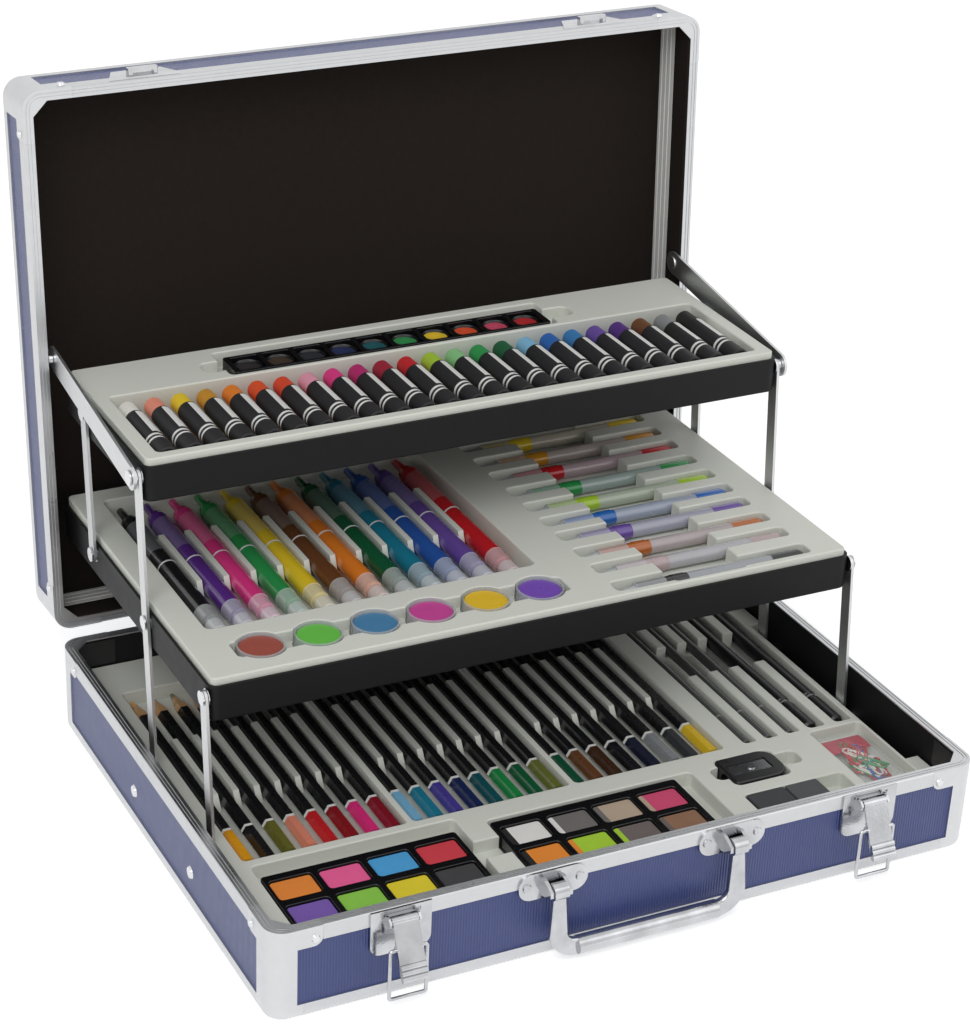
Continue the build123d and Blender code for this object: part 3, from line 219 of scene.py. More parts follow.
@dataclass
class Effects:
    """The effects that several finishes share, each built once."""

    groups: dict[str, Any] = field(default_factory=dict)
    cloud_share: float = 0.12
    noise_detail: float = 5.0

    def build(self) -> None:
        """Make the wear, row, span and rib groups."""
        self.groups["wear"] = self.wear()
        self.groups["row"] = self.row()
        self.groups["span"] = self.span()
        self.groups["ribs"] = self.ribs()

    def wear(self) -> Any:
        """Build the group for cloudy colour change, uneven gloss and fine grain.

        Returns:
            The group's node tree.
        """
        graph, given, made = new_group(
            "surface_wear",
            {"Colour": "Color", "Tint": "Color", "Scale": "Float", "Amount": "Float",
             "Roughness": "Float", "Spread": "Float"},
            {"Colour": "Color", "Roughness": "Float", "Height": "Float"},
        )
        where = graph.node("ShaderNodeTexCoord")
        cloud = graph.node("ShaderNodeTexNoise")
        grain = graph.node("ShaderNodeTexNoise")
        for noise, scale in ((cloud, graph.math("MULTIPLY", given.outputs["Scale"], self.cloud_share)),
                             (grain, given.outputs["Scale"])):
            graph.feed(noise.inputs["Vector"], where.outputs["Object"])
            graph.feed(noise.inputs["Scale"], scale)
            noise.inputs["Detail"].default_value = self.noise_detail
        mask = graph.math("MULTIPLY", cloud.outputs["Fac"], given.outputs["Amount"])
        tinted = graph.mix(1.0, given.outputs["Colour"], given.outputs["Tint"], "MULTIPLY")
        graph.feed(made.inputs["Colour"], graph.mix(mask, given.outputs["Colour"], tinted))
        centred = graph.math("SUBTRACT", cloud.outputs["Fac"], 0.5)
        uneven = graph.math("MULTIPLY", centred, given.outputs["Spread"])
        graph.feed(made.inputs["Roughness"], graph.math("ADD", given.outputs["Roughness"], uneven))
        graph.feed(made.inputs["Height"], grain.outputs["Fac"])
        return graph.tree

    @staticmethod
    def row() -> Any:
        """Build the group for the share from 0 to 1 that says which piece of a row a point is on.

        Returns:
            The group's node tree.
        """
        graph, given, made = new_group(
            "piece_of_row",
            {"Axis": "Vector", "First": "Float", "Pitch": "Float", "Count": "Float"},
            {"Share": "Float"},
        )
        offset = graph.math("SUBTRACT", graph.place(given.outputs["Axis"]), given.outputs["First"])
        steps = graph.math("DIVIDE", offset, given.outputs["Pitch"])
        index = graph.math("FLOOR", graph.math("ADD", steps, 0.5))
        share = graph.math("DIVIDE", graph.math("ADD", index, 0.5), given.outputs["Count"])
        graph.feed(made.inputs["Share"], share)
        return graph.tree

    @staticmethod
    def span() -> Any:
        """Build the group for the share from 0 to 1 between two places along an axis.

        Returns:
            The group's node tree.
        """
        graph, given, made = new_group(
            "share_of_length", {"Axis": "Vector", "Low": "Float", "High": "Float"}, {"Share": "Float"}
        )
        ranged = graph.node("ShaderNodeMapRange")
        graph.feed(ranged.inputs["Value"], graph.place(given.outputs["Axis"]))
        graph.feed(ranged.inputs["From Min"], given.outputs["Low"])
        graph.feed(ranged.inputs["From Max"], given.outputs["High"])
        graph.feed(made.inputs["Share"], ranged.outputs["Result"])
        return graph.tree

    @staticmethod
    def ribs() -> Any:
        """Build the group for even ridges across an axis.

        Returns:
            The group's node tree.
        """
        graph, given, made = new_group(
            "fine_ribs", {"Axis": "Vector", "Pitch": "Float"}, {"Height": "Float"}
        )
        half = graph.math("DIVIDE", given.outputs["Pitch"], 2.0)
        wave = graph.math("PINGPONG", graph.place(given.outputs["Axis"]), half)
        graph.feed(made.inputs["Height"], graph.math("DIVIDE", wave, half))
        return graph.tree


@dataclass(frozen=True)
class Rows:
    """Pieces of one node that follow each other, each in a colour of its own."""

    colours: tuple[str, ...]
    first: float
    pitch: float
    along: Along = Along.X
    front_colours: tuple[str, ...] = ()
    split: float = 0.0


@dataclass(frozen=True)
class Bands:
    """Bands along a piece; an empty colour leaves the piece's own."""

    low: float
    high: float
    steps: tuple[tuple[float, str], ...]
    along: Along = Along.Y


@dataclass(frozen=True)
class Stripe:
    """Lengthwise stripe on one flank of each piece of a row, from low to high along Y."""

    colour: str
    low: float
    high: float
    across: float = 0.47


@dataclass(frozen=True)
class Finish:
    """A surface finish, with lengths in millimetres."""

    name: str
    colour: str
    tint: float = 0.75
    roughness: float = 0.5
    metallic: float = 0.0
    scale: float = 900.0
    amount: float = 0.5
    spread: float = 0.15
    grain: float = 0.04
    coat: float = 0.0
    specular: float = 0.5
    alpha: float = 1.0
    rows: Rows | None = None
    bands: Bands | None = None
    stripe: Stripe | None = None
    rib_along: Along | None = None
    rib_pitch: float = 1.6
    rib_depth: float = 0.25
    # Share of the colour kept at the bottom of each rib valley: painted shade in the grooves.
    rib_valley_painted_shade: float = 0.62

    @staticmethod
    def steps(graph: Graph, places: list[float], colours: list[str]) -> Any:
        """Add a ramp of hard-edged colours.

        Args:
            graph: The material's graph.
            places: Start of each colour, from 0 to 1.
            colours: Written colours, where an empty one has no alpha.

        Returns:
            The ramp's node.
        """
        ramp = graph.node("ShaderNodeValToRGB")
        ramp.color_ramp.interpolation = "CONSTANT"
        elements = ramp.color_ramp.elements
        while len(elements) < len(places):
            elements.new(1.0)
        for element, place, code in zip(elements, places, colours):
            element.position = place
            element.color = linear(code) if code else NO_COLOUR
        return ramp

    def row_colour(self, graph: Graph, effects: Effects, rows: Rows) -> Any:
        """Give every piece of a row its colour.

        Args:
            graph: The material's graph.
            effects: The shared shader groups.
            rows: The row's places and colours.

        Returns:
            The socket with the colour.
        """
        picked = graph.node("ShaderNodeGroup", node_tree=effects.groups["row"])
        values = (rows.along.value, rows.first * MM, rows.pitch * MM, float(len(rows.colours)))
        for socket, value in zip(picked.inputs, values):
            socket.default_value = value
        places = [i / len(rows.colours) for i in range(len(rows.colours))]
        ramp = self.steps(graph, places, list(rows.colours))
        graph.feed(ramp.inputs[0], picked.outputs[0])
        if not rows.front_colours:
            return ramp.outputs["Color"]
        front = self.steps(graph, places, list(rows.front_colours))
        graph.feed(front.inputs[0], picked.outputs[0])
        ahead = graph.math("LESS_THAN", graph.place(Along.Y.value), rows.split * MM)
        return graph.mix(ahead, ramp.outputs["Color"], front.outputs["Color"])

    @staticmethod
    def striped(graph: Graph, colour: Any, stripe: Stripe, rows: Rows) -> Any:
        """Lay the stripe over each piece of a row.

        Args:
            graph: The material's graph.
            colour: Socket with the colour below it.
            stripe: The stripe's colour and ends.
            rows: The row that it goes over.

        Returns:
            The socket with the colour.
        """
        offset = graph.math("SUBTRACT", graph.place(rows.along.value), rows.first * MM)
        steps = graph.math("DIVIDE", offset, rows.pitch * MM)
        across = graph.math("FRACT", graph.math("ADD", steps, 0.5))
        length = graph.place(Along.Y.value)
        mask = graph.math("GREATER_THAN", across, stripe.across)
        mask = graph.math("MULTIPLY", mask, graph.math("GREATER_THAN", length, stripe.low * MM))
        mask = graph.math("MULTIPLY", mask, graph.math("LESS_THAN", length, stripe.high * MM))
        return graph.mix(mask, colour, linear(stripe.colour))

    def base_colour(self, graph: Graph, effects: Effects) -> Any:
        """Work out the colour before wear, with its rows, bands and stripe.

        Args:
            graph: The material's graph.
            effects: The shared shader groups.

        Returns:
            The plain colour, or the socket with it.
        """
        colour: Any = self.row_colour(graph, effects, self.rows) if self.rows else linear(self.colour)
        if self.bands:
            span = graph.node("ShaderNodeGroup", node_tree=effects.groups["span"])
            ends = (self.bands.along.value, self.bands.low * MM, self.bands.high * MM)
            for socket, value in zip(span.inputs, ends):
                socket.default_value = value
            length = self.bands.high - self.bands.low
            places = [max(0.0, (place - self.bands.low) / length) for place, _ in self.bands.steps]
            ramp = self.steps(graph, places, [code for _, code in self.bands.steps])
            graph.feed(ramp.inputs[0], span.outputs[0])
            colour = graph.mix(ramp.outputs["Alpha"], colour, ramp.outputs["Color"])
        if self.stripe and self.rows:
            colour = self.striped(graph, colour, self.stripe, self.rows)
        return colour

    def build(self, effects: Effects) -> Any:
        """Make the material.

        Args:
            effects: The shared shader groups.

        Returns:
            The finished material.
        """
        material = bpy.data.materials.new(self.name)
        material.use_nodes = True
        graph = Graph(material.node_tree)
        shader = material.node_tree.nodes["Principled BSDF"]
        colour = self.base_colour(graph, effects)
        wear = graph.node("ShaderNodeGroup", node_tree=effects.groups["wear"])
        tint = (self.tint, self.tint, self.tint, 1.0)
        surface = (colour, tint, self.scale, self.amount, self.roughness, self.spread)
        for socket, value in zip(wear.inputs, surface):
            graph.feed(socket, value)
        colour, height, depth = wear.outputs["Colour"], wear.outputs["Height"], self.grain
        if self.rib_along:
            ribs = graph.node("ShaderNodeGroup", node_tree=effects.groups["ribs"])
            ribs.inputs[0].default_value = self.rib_along.value
            ribs.inputs[1].default_value = self.rib_pitch * MM
            height, depth = ribs.outputs[0], self.rib_depth
            # Painted shade: the colour is darkened towards the rib valleys and kept full on the ridges.
            painted_valley_shade = graph.mix(1.0, colour, (self.rib_valley_painted_shade, self.rib_valley_painted_shade, self.rib_valley_painted_shade, 1.0), "MULTIPLY")
            colour = graph.mix(height, painted_valley_shade, colour)
        bump = graph.node("ShaderNodeBump")
        bump.inputs["Distance"].default_value = depth * MM
        graph.feed(bump.inputs["Height"], height)
        graph.feed(shader.inputs["Base Color"], colour)
        graph.feed(shader.inputs["Roughness"], wear.outputs["Roughness"])
        graph.feed(shader.inputs["Normal"], bump.outputs["Normal"])
        shader.inputs["Metallic"].default_value = self.metallic
        shader.inputs["Coat Weight"].default_value = self.coat
        shader.inputs["Specular IOR Level"].default_value = self.specular
        shader.inputs["Alpha"].default_value = self.alpha
        return material


@dataclass
class SubAssembly:
    """Nodes of the frame that take their finishes together."""

    effects: Effects
    nodes: dict[str, Any]
    title: str = "pieces"

    def finishes(self) -> list[tuple[Finish, tuple[str, ...]]]:
        """Each finish with the nodes that wear it."""
        return []

    def dress(self) -> None:
        """Give every node of the sub-assembly its finish."""
        for finish, names in self.finishes():
            material = finish.build(self.effects)
            for name in names:
                piece = self.nodes[name]
                if not piece.material_slots:
                    piece.data.materials.append(material)
                for slot in piece.material_slots:
                    slot.material = material
                LOG.info("%s: %s wears %s", self.title, name, finish.name)


@dataclass
class CaseBody(SubAssembly):
    """Boards, ribbed panels, metal edges and hardware of the case."""

    title: str = "case"

    def finishes(self) -> list[tuple[Finish, tuple[str, ...]]]:
        """List the finishes.

        Returns:
            Each finish with the names of the nodes that wear it.
        """
        blue = {"colour": "#3D4C8C", "roughness": 0.36, "tint": 0.88, "coat": 0.15}
        bright = {"metallic": 1.0, "scale": 1500.0, "amount": 0.4, "tint": 0.85}
        return [
            (Finish("black_board", "#0F0F11", roughness=0.62, specular=0.25, grain=0.08, scale=700.0),
             ("base_shell", "lid_shell")),
            (Finish("ribbed_sides", rib_along=Along.LEVEL, **blue), ("base_panels",)),
            (Finish("ribbed_lid", rib_along=Along.UPRIGHT, **blue), ("lid_panels",)),
            (Finish("ribbed_top", rib_along=Along.X, **blue), ("lid_top_panel",)),
            (Finish("satin_trim", "#C8C9CB", roughness=0.3, **bright),
             ("base_rim_trim", "base_foot_trim", "lid_rim_trim", "lid_edge_trim")),
            (Finish("satin_corner", "#CDCED0", roughness=0.34, **bright),
             ("base_corner_guards", "lid_corner_guards")),
            (Finish("rivet_plating", "#DADBDD", roughness=0.2, **bright),
             ("base_rivets", "lid_rivets", "mid_tray_rivets", "top_tray_rivets")),
            (Finish("inner_grooved_strip", "#E6E6E3", roughness=0.45, metallic=0.1, tint=0.9),
             ("lid_inner_trim",)),
            (Finish("black_bracket", "#1A1A1C", roughness=0.4), ("base_inner_brackets",)),
            (Finish("hinge_plating", "#B9BABC", roughness=0.32, **bright),
             ("hinge_leaves_base", "hinge_leaves_lid")),
            (Finish("bright_plating", "#D6D7DA", roughness=0.13, metallic=1.0, scale=700.0,
                    amount=0.8, tint=0.4),
             ("latch_plates", "latch_lever_left", "latch_lever_right", "latch_bail_left",
              "latch_bail_right", "lid_catches", "handle_brackets", "handle")),
            (Finish("arm_strip", "#CFD0D1", roughness=0.38, **bright),
             ("main_arm_left", "main_arm_right", "front_arm_left", "front_arm_right",
              "upper_arm_left", "upper_arm_right", "lid_link_left", "lid_link_right")),
            (Finish("tray_plastic", "#0D0D0F", roughness=0.5, specular=0.22),
             ("mid_tray_shell", "top_tray_shell")),
            (Finish("moulded_grey", "#DADCD3", tint=0.92, roughness=0.48, scale=600.0),
             ("base_insert", "mid_tray_insert", "top_tray_insert")),
        ]


@dataclass
class BaseContents(SubAssembly):
    """Pencils, sticks, palettes and small tools in the base."""

    title: str = "base contents"
    pencil_pitch: float = 11.9
    pencil_rows: tuple[tuple[str, float, tuple[str, ...]], ...] = (
        ("pencils_warm", -177.8, ("#E9A21F", "#1D1D1F", "#6B6A2D", "#E58C73",
                                  "#C8252B", "#8E1B22", "#E3317F", "#8A1A2A")),
        ("pencils_cool", -81.3, ("#7DB8DC", "#1F7C96", "#4A3F97", "#1D2A55",
                                 "#14535A", "#1E8A47", "#145C38", "#6C7433")),
        ("pencils_dark", 15.0, ("#15523A", "#6A4226", "#402819", "#16161A",
                                "#1A1F33", "#8A8D90", "#34363A", "#E8C22C")),
    )

    def finishes(self) -> list[tuple[Finish, tuple[str, ...]]]:
        """List the finishes.

        Returns:
            Each finish with the names of the nodes that wear it.
        """
        lacquer = Bands(low=-62.5, high=112.5, steps=(
            (-62.5, ""), (-34.0, "#ECECE8"), (-32.0, "#19191B"), (92.0, "#C99F6E"), (106.5, "")))
        made = [
            (Finish(name, colours[0], roughness=0.28, coat=0.5, bands=lacquer,
                    rows=Rows(colours, first, self.pencil_pitch)), (name,))
            for name, first, colours in self.pencil_rows
        ]
        gap = "#000000"
        cakes = Rows(
            ("#EB8A35", "#F0609A", "#4BA3DC", "#D23B48", gap, "#E8E5E2", "#6E6A68", "#B9A590", "#D24A72"),
            first=-166.0, pitch=27.2, split=-108.0,
            front_colours=("#7B5AB0", "#8CCB4A", "#E8D42C", "#3A3A3C", gap,
                           "#EE8E30", "#A9D335", "#6B625F", "#8F6A52"))
        stick, handle = "#4E504E", "#1A1A1C"
        return made + [
            (Finish("tool_black", "#1A1A1C", roughness=0.4,
                    rows=Rows((stick, stick, stick, handle, handle), first=120.0, pitch=15.2),
                    bands=Bands(low=-66.0, high=112.0, steps=(
                        (-66.0, ""), (-34.0, "#B5B6B480"), (-32.0, ""), (84.0, "#8A8C8E"), (100.0, "")))),
             ("drawing_sticks",)),
            (Finish("sharpener_black", "#1C1C1E", roughness=0.3), ("sharpener",)),
            (Finish("blade", "#B6B8BA", roughness=0.2, metallic=1.0), ("sharpener_blade",)),
            (Finish("eraser", "#E6E4DD", roughness=0.8,
                    rows=Rows(("#3B3C3E", "#505153"), first=100.0, pitch=22.5)), ("erasers",)),
            (Finish("palette_gloss", "#131315", roughness=0.2), ("palettes", "watercolour_box")),
            (Finish("cakes", "#888888", roughness=0.85, grain=0.1, rows=cakes), ("palette_cakes",)),
        ]


@dataclass
class TrayContents(SubAssembly):
    """Markers, pots and pens of the middle tray; pastels, crayons and pans of the top one."""

    title: str = "tray contents"
    sticks: tuple[str, ...] = (
        "#ECEAE2", "#E9927A", "#EBCB2E", "#C98F2C", "#E8822A", "#DF5426", "#DB4A2B", "#E9A0B4",
        "#E23C86", "#B7296E", "#9E1F35", "#C6232A", "#A8CB3B", "#8CC88A", "#2F9650", "#175A38",
        "#86BFE0", "#2B68B4", "#3A7FB8", "#6B4FA0", "#54307F", "#6A4226", "#8A8C8E", "#1A1A1C",
    )

    def finishes(self) -> list[tuple[Finish, tuple[str, ...]]]:
        """List the finishes.

        Returns:
            Each finish with the names of the nodes that wear it.
        """
        gloss = {"roughness": 0.25, "coat": 0.4}
        markers = ("#1A1A1C", "#5A2F86", "#E23C86", "#2F9650", "#EBCB2E", "#6A4226",
                   "#E8822A", "#175A38", "#1F7C96", "#2B58A8", "#6B4FA0", "#C6232A")
        pens = ("#EBCB2E", "#D9982B", "#C6232A", "#2F9650", "#A8CB3B", "#2B68B4",
                "#6B4FA0", "#B5652B", "#B9A5A6", "#1A1A1C")
        wrap = Bands(low=60.0, high=124.0, steps=(
            (60.0, "#17171A"), (74.0, "#ECECE8"), (76.0, "#17171A"), (78.0, "#ECECE8"),
            (80.0, "#17171A"), (110.0, "")))
        barrel = Bands(low=12.0, high=167.0, steps=(
            (12.0, "#DDE0E2C0"), (22.0, "#D5D8DA80"), (36.0, ""), (88.5, "#E9EAEA"), (90.0, ""),
            (104.0, "#C9CCCE30"), (140.0, "")))
        tube = Bands(low=50.0, high=165.0, along=Along.X, steps=(
            (50.0, "#B9BDC2"), (60.0, "#C9CCD078"), (78.0, ""), (92.0, "#B4B8BEC4"), (145.0, "")))
        paints = ("#A8584C", "#6FC852", "#4E86B0", "#D04E9E", "#EEC535", "#7E55BE")
        return [
            (Finish("marker_barrels", markers[0], bands=barrel,
                    rows=Rows(markers, first=-163.0, pitch=15.6), **gloss), ("markers",)),
            (Finish("pot_shell", "#D6D9DC", alpha=0.45, **gloss), ("paint_pots",)),
            (Finish("pot_colour", "#888888", roughness=0.3,
                    rows=Rows(paints, first=-152.0, pitch=32.3)), ("pot_paints",)),
            (Finish("pen_barrels", pens[0], bands=tube,
                    rows=Rows(pens, first=156.0, pitch=-20.67, along=Along.Y), **gloss), ("gel_pens",)),
            (Finish("pastel_sticks", self.sticks[0], roughness=0.6, bands=wrap,
                    stripe=Stripe("#E9E9E6", low=82.0, high=109.0),
                    rows=Rows(self.sticks, first=-172.5, pitch=15.0)), ("pastels",)),
            (Finish("crayon_wax", self.sticks[0], roughness=0.5,
                    rows=Rows(self.sticks[:-1], first=-165.0, pitch=15.0)), ("crayons",)),
        ]


@dataclass
class ClipBag:
    """Clear film bag of paper clips, in place of the frame's plain solid; lengths in millimetres."""

    effects: Effects
    columns: int = 18
    lines: int = 30
    fullness: float = 0.9
    swell_power: float = 0.45
    crease_depth: float = 0.07
    crease_waves: tuple[tuple[float, float], ...] = ((23.0, 9.0), (-6.0, 17.0))
    clip_count: int = 24
    clip_size: float = 0.9
    clip_turns: tuple[float, float] = (0.9, 2.2)
    clip_reach: tuple[float, float] = (4.5, 13.0)
    clip_rise: float = 0.12
    clip_outline: tuple[tuple[float, float], ...] = (
        (-9, -3), (9, -3), (11, 0), (9, 3), (-7, 3), (-9, 0.6),
        (-7, -1.6), (6, -1.6), (7.4, 0), (6, 1.5), (-3, 1.5),
    )
    wire: float = 0.6
    colours: tuple[str, ...] = ("#C6232A", "#ECEAE2", "#D8303A", "#2F9650", "#2B68B4")
    card_inset: float = 2.5
    card_length: float = 17.0
    card_margin: float = 4.0
    card_level: float = 0.52
    card_bow: float = 0.6
    card_thick: float = 0.3
    card_steps: int = 8
    seed: int = 7

    def film(self, low: Vector, high: Vector, draw: random.Random) -> Any:
        """Build the creased pillow of film.

        Args:
            low: Lowest corner of the solid that it stands for.
            high: Highest corner of that solid.
            draw: Seeded source of the creases.

        Returns:
            The bag's object.
        """
        points: list[tuple[float, float, float]] = []
        faces: list[tuple[int, ...]] = []
        # Two phases shape the creases; the other two draws keep the order of those that follow.
        phases = [draw.uniform(0, 2 * math.pi) for _ in range(4)]
        for side in (1, -1):
            base = len(points)
            for j in range(self.lines + 1):
                for i in range(self.columns + 1):
                    u, v = i / self.columns, j / self.lines
                    swell = (math.sin(math.pi * u) * math.sin(math.pi * v)) ** self.swell_power
                    crease = self.crease_depth
                    for (by_u, by_v), phase in zip(self.crease_waves, phases):
                        crease *= math.sin(by_u * u + by_v * v + phase)
                    rise = 0.5 + 0.5 * side * swell * (self.fullness + (crease if side > 0 else 0.0))
                    points.append((low.x + u * (high.x - low.x), low.y + v * (high.y - low.y),
                                   low.z + clamp(rise, 0.0, 1.0) * (high.z - low.z)))
            for j in range(self.lines):
                for i in range(self.columns):
                    a = base + j * (self.columns + 1) + i
                    quad = (a, a + 1, a + self.columns + 2, a + self.columns + 1)
                    faces.append(quad if side > 0 else quad[::-1])
        made = add_mesh("clip_bag_film", points, faces)
        finish = Finish("bag_film", "#E9EDF0", roughness=0.1, alpha=0.16, coat=0.6)
        made.data.materials.append(finish.build(self.effects))
        return made

    def clips(self, low: Vector, high: Vector, draw: random.Random) -> Any:
        """Build the wire clips that lie in the bag.

        Args:
            low: Lowest corner of the bag.
            high: Highest corner of the bag.
            draw: Seeded source of where they lie.

        Returns:
            One object with all the clips.
        """
        curve = bpy.data.curves.new("paper_clips", "CURVE")
        curve.dimensions = "3D"
        curve.bevel_depth = self.wire * MM
        curve.bevel_resolution = 3
        for code in self.colours:
            finish = Finish(f"clip_wire_{code[1:]}", code, roughness=0.3, coat=0.3)
            curve.materials.append(finish.build(self.effects))
        middle, size, (reach_x, reach_y) = (low + high) / 2, self.clip_size, self.clip_reach
        for index in range(self.clip_count):
            turn = Matrix.Rotation(draw.uniform(*self.clip_turns), 3, "Z")
            shift = Vector((draw.uniform(-reach_x, reach_x) * MM, draw.uniform(-reach_y, reach_y) * MM,
                            (index - self.clip_count / 2) * self.clip_rise * MM))
            spline = curve.splines.new("NURBS")
            spline.points.add(len(self.clip_outline) - 1)
            for point, (x, y) in zip(spline.points, self.clip_outline):
                point.co = (*(middle + shift + turn @ Vector((x * size * MM, y * size * MM, 0))), 1.0)
            spline.order_u = 3
            spline.use_endpoint_u = True
            spline.material_index = index % len(self.colours)
        made = bpy.data.objects.new("paper_clips", curve)
        bpy.context.scene.collection.objects.link(made)
        return made

    def card(self, low: Vector, high: Vector) -> Any:
        """Build the plain red card folded over the bag's rear end.

        Args:
            low: Lowest corner of the bag.
            high: Highest corner of the bag.

        Returns:
            The card's object.
        """
        left, right = low.x + self.card_inset * MM, high.x - self.card_inset * MM
        start, level = high.y - self.card_length * MM, low.z + self.card_level * (high.z - low.z)
        points: list[tuple[float, float, float]] = []
        faces: list[tuple[int, ...]] = []
        for step in range(self.card_steps + 1):
            share = step / self.card_steps
            y = start + share * (high.y - self.card_margin * MM - start)
            z = level + self.card_bow * MM * math.sin(math.pi * share)
            under = z - self.card_thick * MM
            points += [(left, y, z), (right, y, z), (right, y, under), (left, y, under)]
        for step in range(self.card_steps):
            for side in range(4):
                a, b = 4 * step + side, 4 * step + (side + 1) % 4
                faces.append((a, b, b + 4, a + 4))
        last = 4 * self.card_steps
        faces += [(3, 2, 1, 0), (last, last + 1, last + 2, last + 3)]
        made = add_mesh("clip_card", points, faces, smooth=False)
        made.data.materials.append(Finish("card_red", "#C22A45", roughness=0.55).build(self.effects))
        return made

    def build(self) -> None:
        """Make the bag and its clips and set them in the base."""
        draw = random.Random(self.seed)
        low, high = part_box("clip_bag")
        film = self.film(low, high, draw)
        clips = self.clips(low, high, draw)
        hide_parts("clip_bag")
        for piece in (film, clips, self.card(low, high)):
            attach(piece, "base")
            LOG.info("clip bag: %s", piece.name)


@dataclass(frozen=True)
class LidInside:
    """Directions and limits, in metres, of the space in the lid that its lining takes."""

    along: Vector
    normal: Vector
    middle: float
    half_x: float
    half_y: float
    foot: float
    strip: float
    front: float
    top: float

    def place(self, x: float, y: float, height: float) -> Vector:
        """Return the place in the frame of one that is given in the lid."""
        return Vector((x, 0.0, 0.0)) + self.along * (self.middle + y) + self.normal * height


@dataclass
class LiningCloth:
    """Cloth glued inside the lid, in place of the frame's soft solid; lengths in millimetres."""

    effects: Effects
    opening: float = 93.65
    same_height: float = 0.05
    corner: float = 3.0
    arc_steps: int = 6
    side_steps: int = 30
    wall: float = 0.5
    wall_rings: int = 8
    wall_stretch: float = 3.0
    hem: float = 0.1
    ripple: float = 0.09
    wave: tuple[float, float] = (31.0, 23.0)
    wave_phase: float = 0.7
    tuck: float = 0.9994
    shares: tuple[float, ...] = (
        0.96, 0.9, 0.82, 0.74, 0.66, 0.58, 0.5, 0.42, 0.34, 0.26, 0.18, 0.1, 0.04,
    )

    def levels(self, heights: list[float]) -> list[float]:
        """Keep one of each height at which the solid has corners.

        Args:
            heights: Height of every corner, from the lid's rim towards its top.

        Returns:
            The separate heights, lowest first.
        """
        found: list[float] = []
        for height in sorted(heights):
            if not found or height - found[-1] > self.same_height * MM:
                found.append(height)
        return found

    def measure(self, solid: Any) -> LidInside:
        """Find the space that the lining takes.

        Args:
            solid: The plain solid of the frame.

        Returns:
            Its directions and limits.
        """
        lean = math.radians(self.opening)
        normal = Vector((0.0, math.sin(lean), math.cos(lean)))
        along = Vector((0.0, math.cos(lean), -math.sin(lean)))
        corners = [solid.matrix_world @ vertex.co for vertex in solid.data.vertices]
        spread = [along.dot(corner) for corner in corners]
        foot, strip, front, top = self.levels([normal.dot(corner) for corner in corners])
        return LidInside(
            along=along, normal=normal, middle=(max(spread) + min(spread)) / 2,
            half_x=max(corner.x for corner in corners), half_y=(max(spread) - min(spread)) / 2,
            foot=foot, strip=strip, front=front, top=top,
        )

    def outline(self, half_x: float, half_y: float) -> list[tuple[float, float]]:
        """Go round a rectangle with rounded corners.

        Args:
            half_x: Half its width.
            half_y: Half its depth.

        Returns:
            Its points in order.
        """
        radius, quarter = self.corner * MM, math.pi / 2
        arcs = []
        for index, (sign_x, sign_y) in enumerate(((1, 1), (-1, 1), (-1, -1), (1, -1))):
            turns = [quarter * (index + step / self.arc_steps) for step in range(self.arc_steps + 1)]
            arcs.append([(sign_x * (half_x - radius) + radius * math.cos(turn),
                          sign_y * (half_y - radius) + radius * math.sin(turn)) for turn in turns])
        path: list[tuple[float, float]] = []
        for arc, after in zip(arcs, arcs[1:] + arcs[:1]):
            path += arc
            (from_x, from_y), (to_x, to_y) = arc[-1], after[0]
            for step in range(1, self.side_steps):
                share = step / self.side_steps
                path.append((from_x + share * (to_x - from_x), from_y + share * (to_y - from_y)))
        return path

    def lift(self, x: float, y: float) -> float:
        """Return how far the glued cloth stands off its board at one place."""
        first, second = (length * MM for length in self.wave)
        return self.ripple * MM * (0.5 + 0.5 * math.sin(x / first) * math.sin(y / second + self.wave_phase))

    def sheet(self, inside: LidInside, path: list[tuple[float, float]]) -> list[list[Vector]]:
        """Lay out the sheet under the lid's top.

        Args:
            inside: The space that the lining takes.
            path: Its outline.

        Returns:
            Rings of points, from the turned edge to the middle.
        """
        rings = [[inside.place(x, y, inside.top) for x, y in path]]
        for share in (self.tuck, *self.shares):
            ring = []
            for x, y in path:
                across, down = x * share, y * share
                ring.append(inside.place(across, down, inside.front + self.lift(across, down)))
            rings.append(ring)
        return rings

    def band(self, inside: LidInside, path: list[tuple[float, float]]) -> list[list[Vector]]:
        """Lay out the band of cloth along the lid's walls.

        Args:
            inside: The space that the lining takes.
            path: Its outline.

        Returns:
            Rings of points, from the lid's rim to the grooved strips.
        """
        hem = self.hem * MM
        reach = inside.strip - inside.foot - 2 * hem
        rings = [[inside.place(x, y, inside.foot) for x, y in path]]
        for index in range(self.wall_rings):
            height = inside.foot + hem + reach * index / (self.wall_rings - 1)
            ring = []
            for x, y in path:
                inset = self.wall * MM - self.lift(x + y, self.wall_stretch * height)
                reach_x, reach_y = inside.half_x - inset, inside.half_y - inset
                ring.append(inside.place(self.tuck * clamp(x, -reach_x, reach_x),
                                         self.tuck * clamp(y, -reach_y, reach_y), height))
            rings.append(ring)
        rings.append([inside.place(x, y, inside.strip) for x, y in path])
        return rings

    @staticmethod
    def loft(points: list[Vector], faces: list[tuple[int, ...]], rings: list[list[Vector]],
             wrap: bool) -> None:
        """Add a skin over a row of rings.

        Args:
            points: Points so far, to which the rings are added.
            faces: Faces so far, to which the skin is added.
            rings: Rings with the same number of points.
            wrap: Whether the last ring joins the first, or else both are capped.
        """
        base, count = len(points), len(rings[0])
        for ring in rings:
            points.extend(ring)
        for index in range(len(rings) if wrap else len(rings) - 1):
            near, far = base + index * count, base + (index + 1) % len(rings) * count
            for step in range(count):
                after = (step + 1) % count
                faces.append((far + step, far + after, near + after, near + step))
        if not wrap:
            faces.append(tuple(range(base, base + count)))
            faces.append(tuple(reversed(range(len(points) - count, len(points)))))

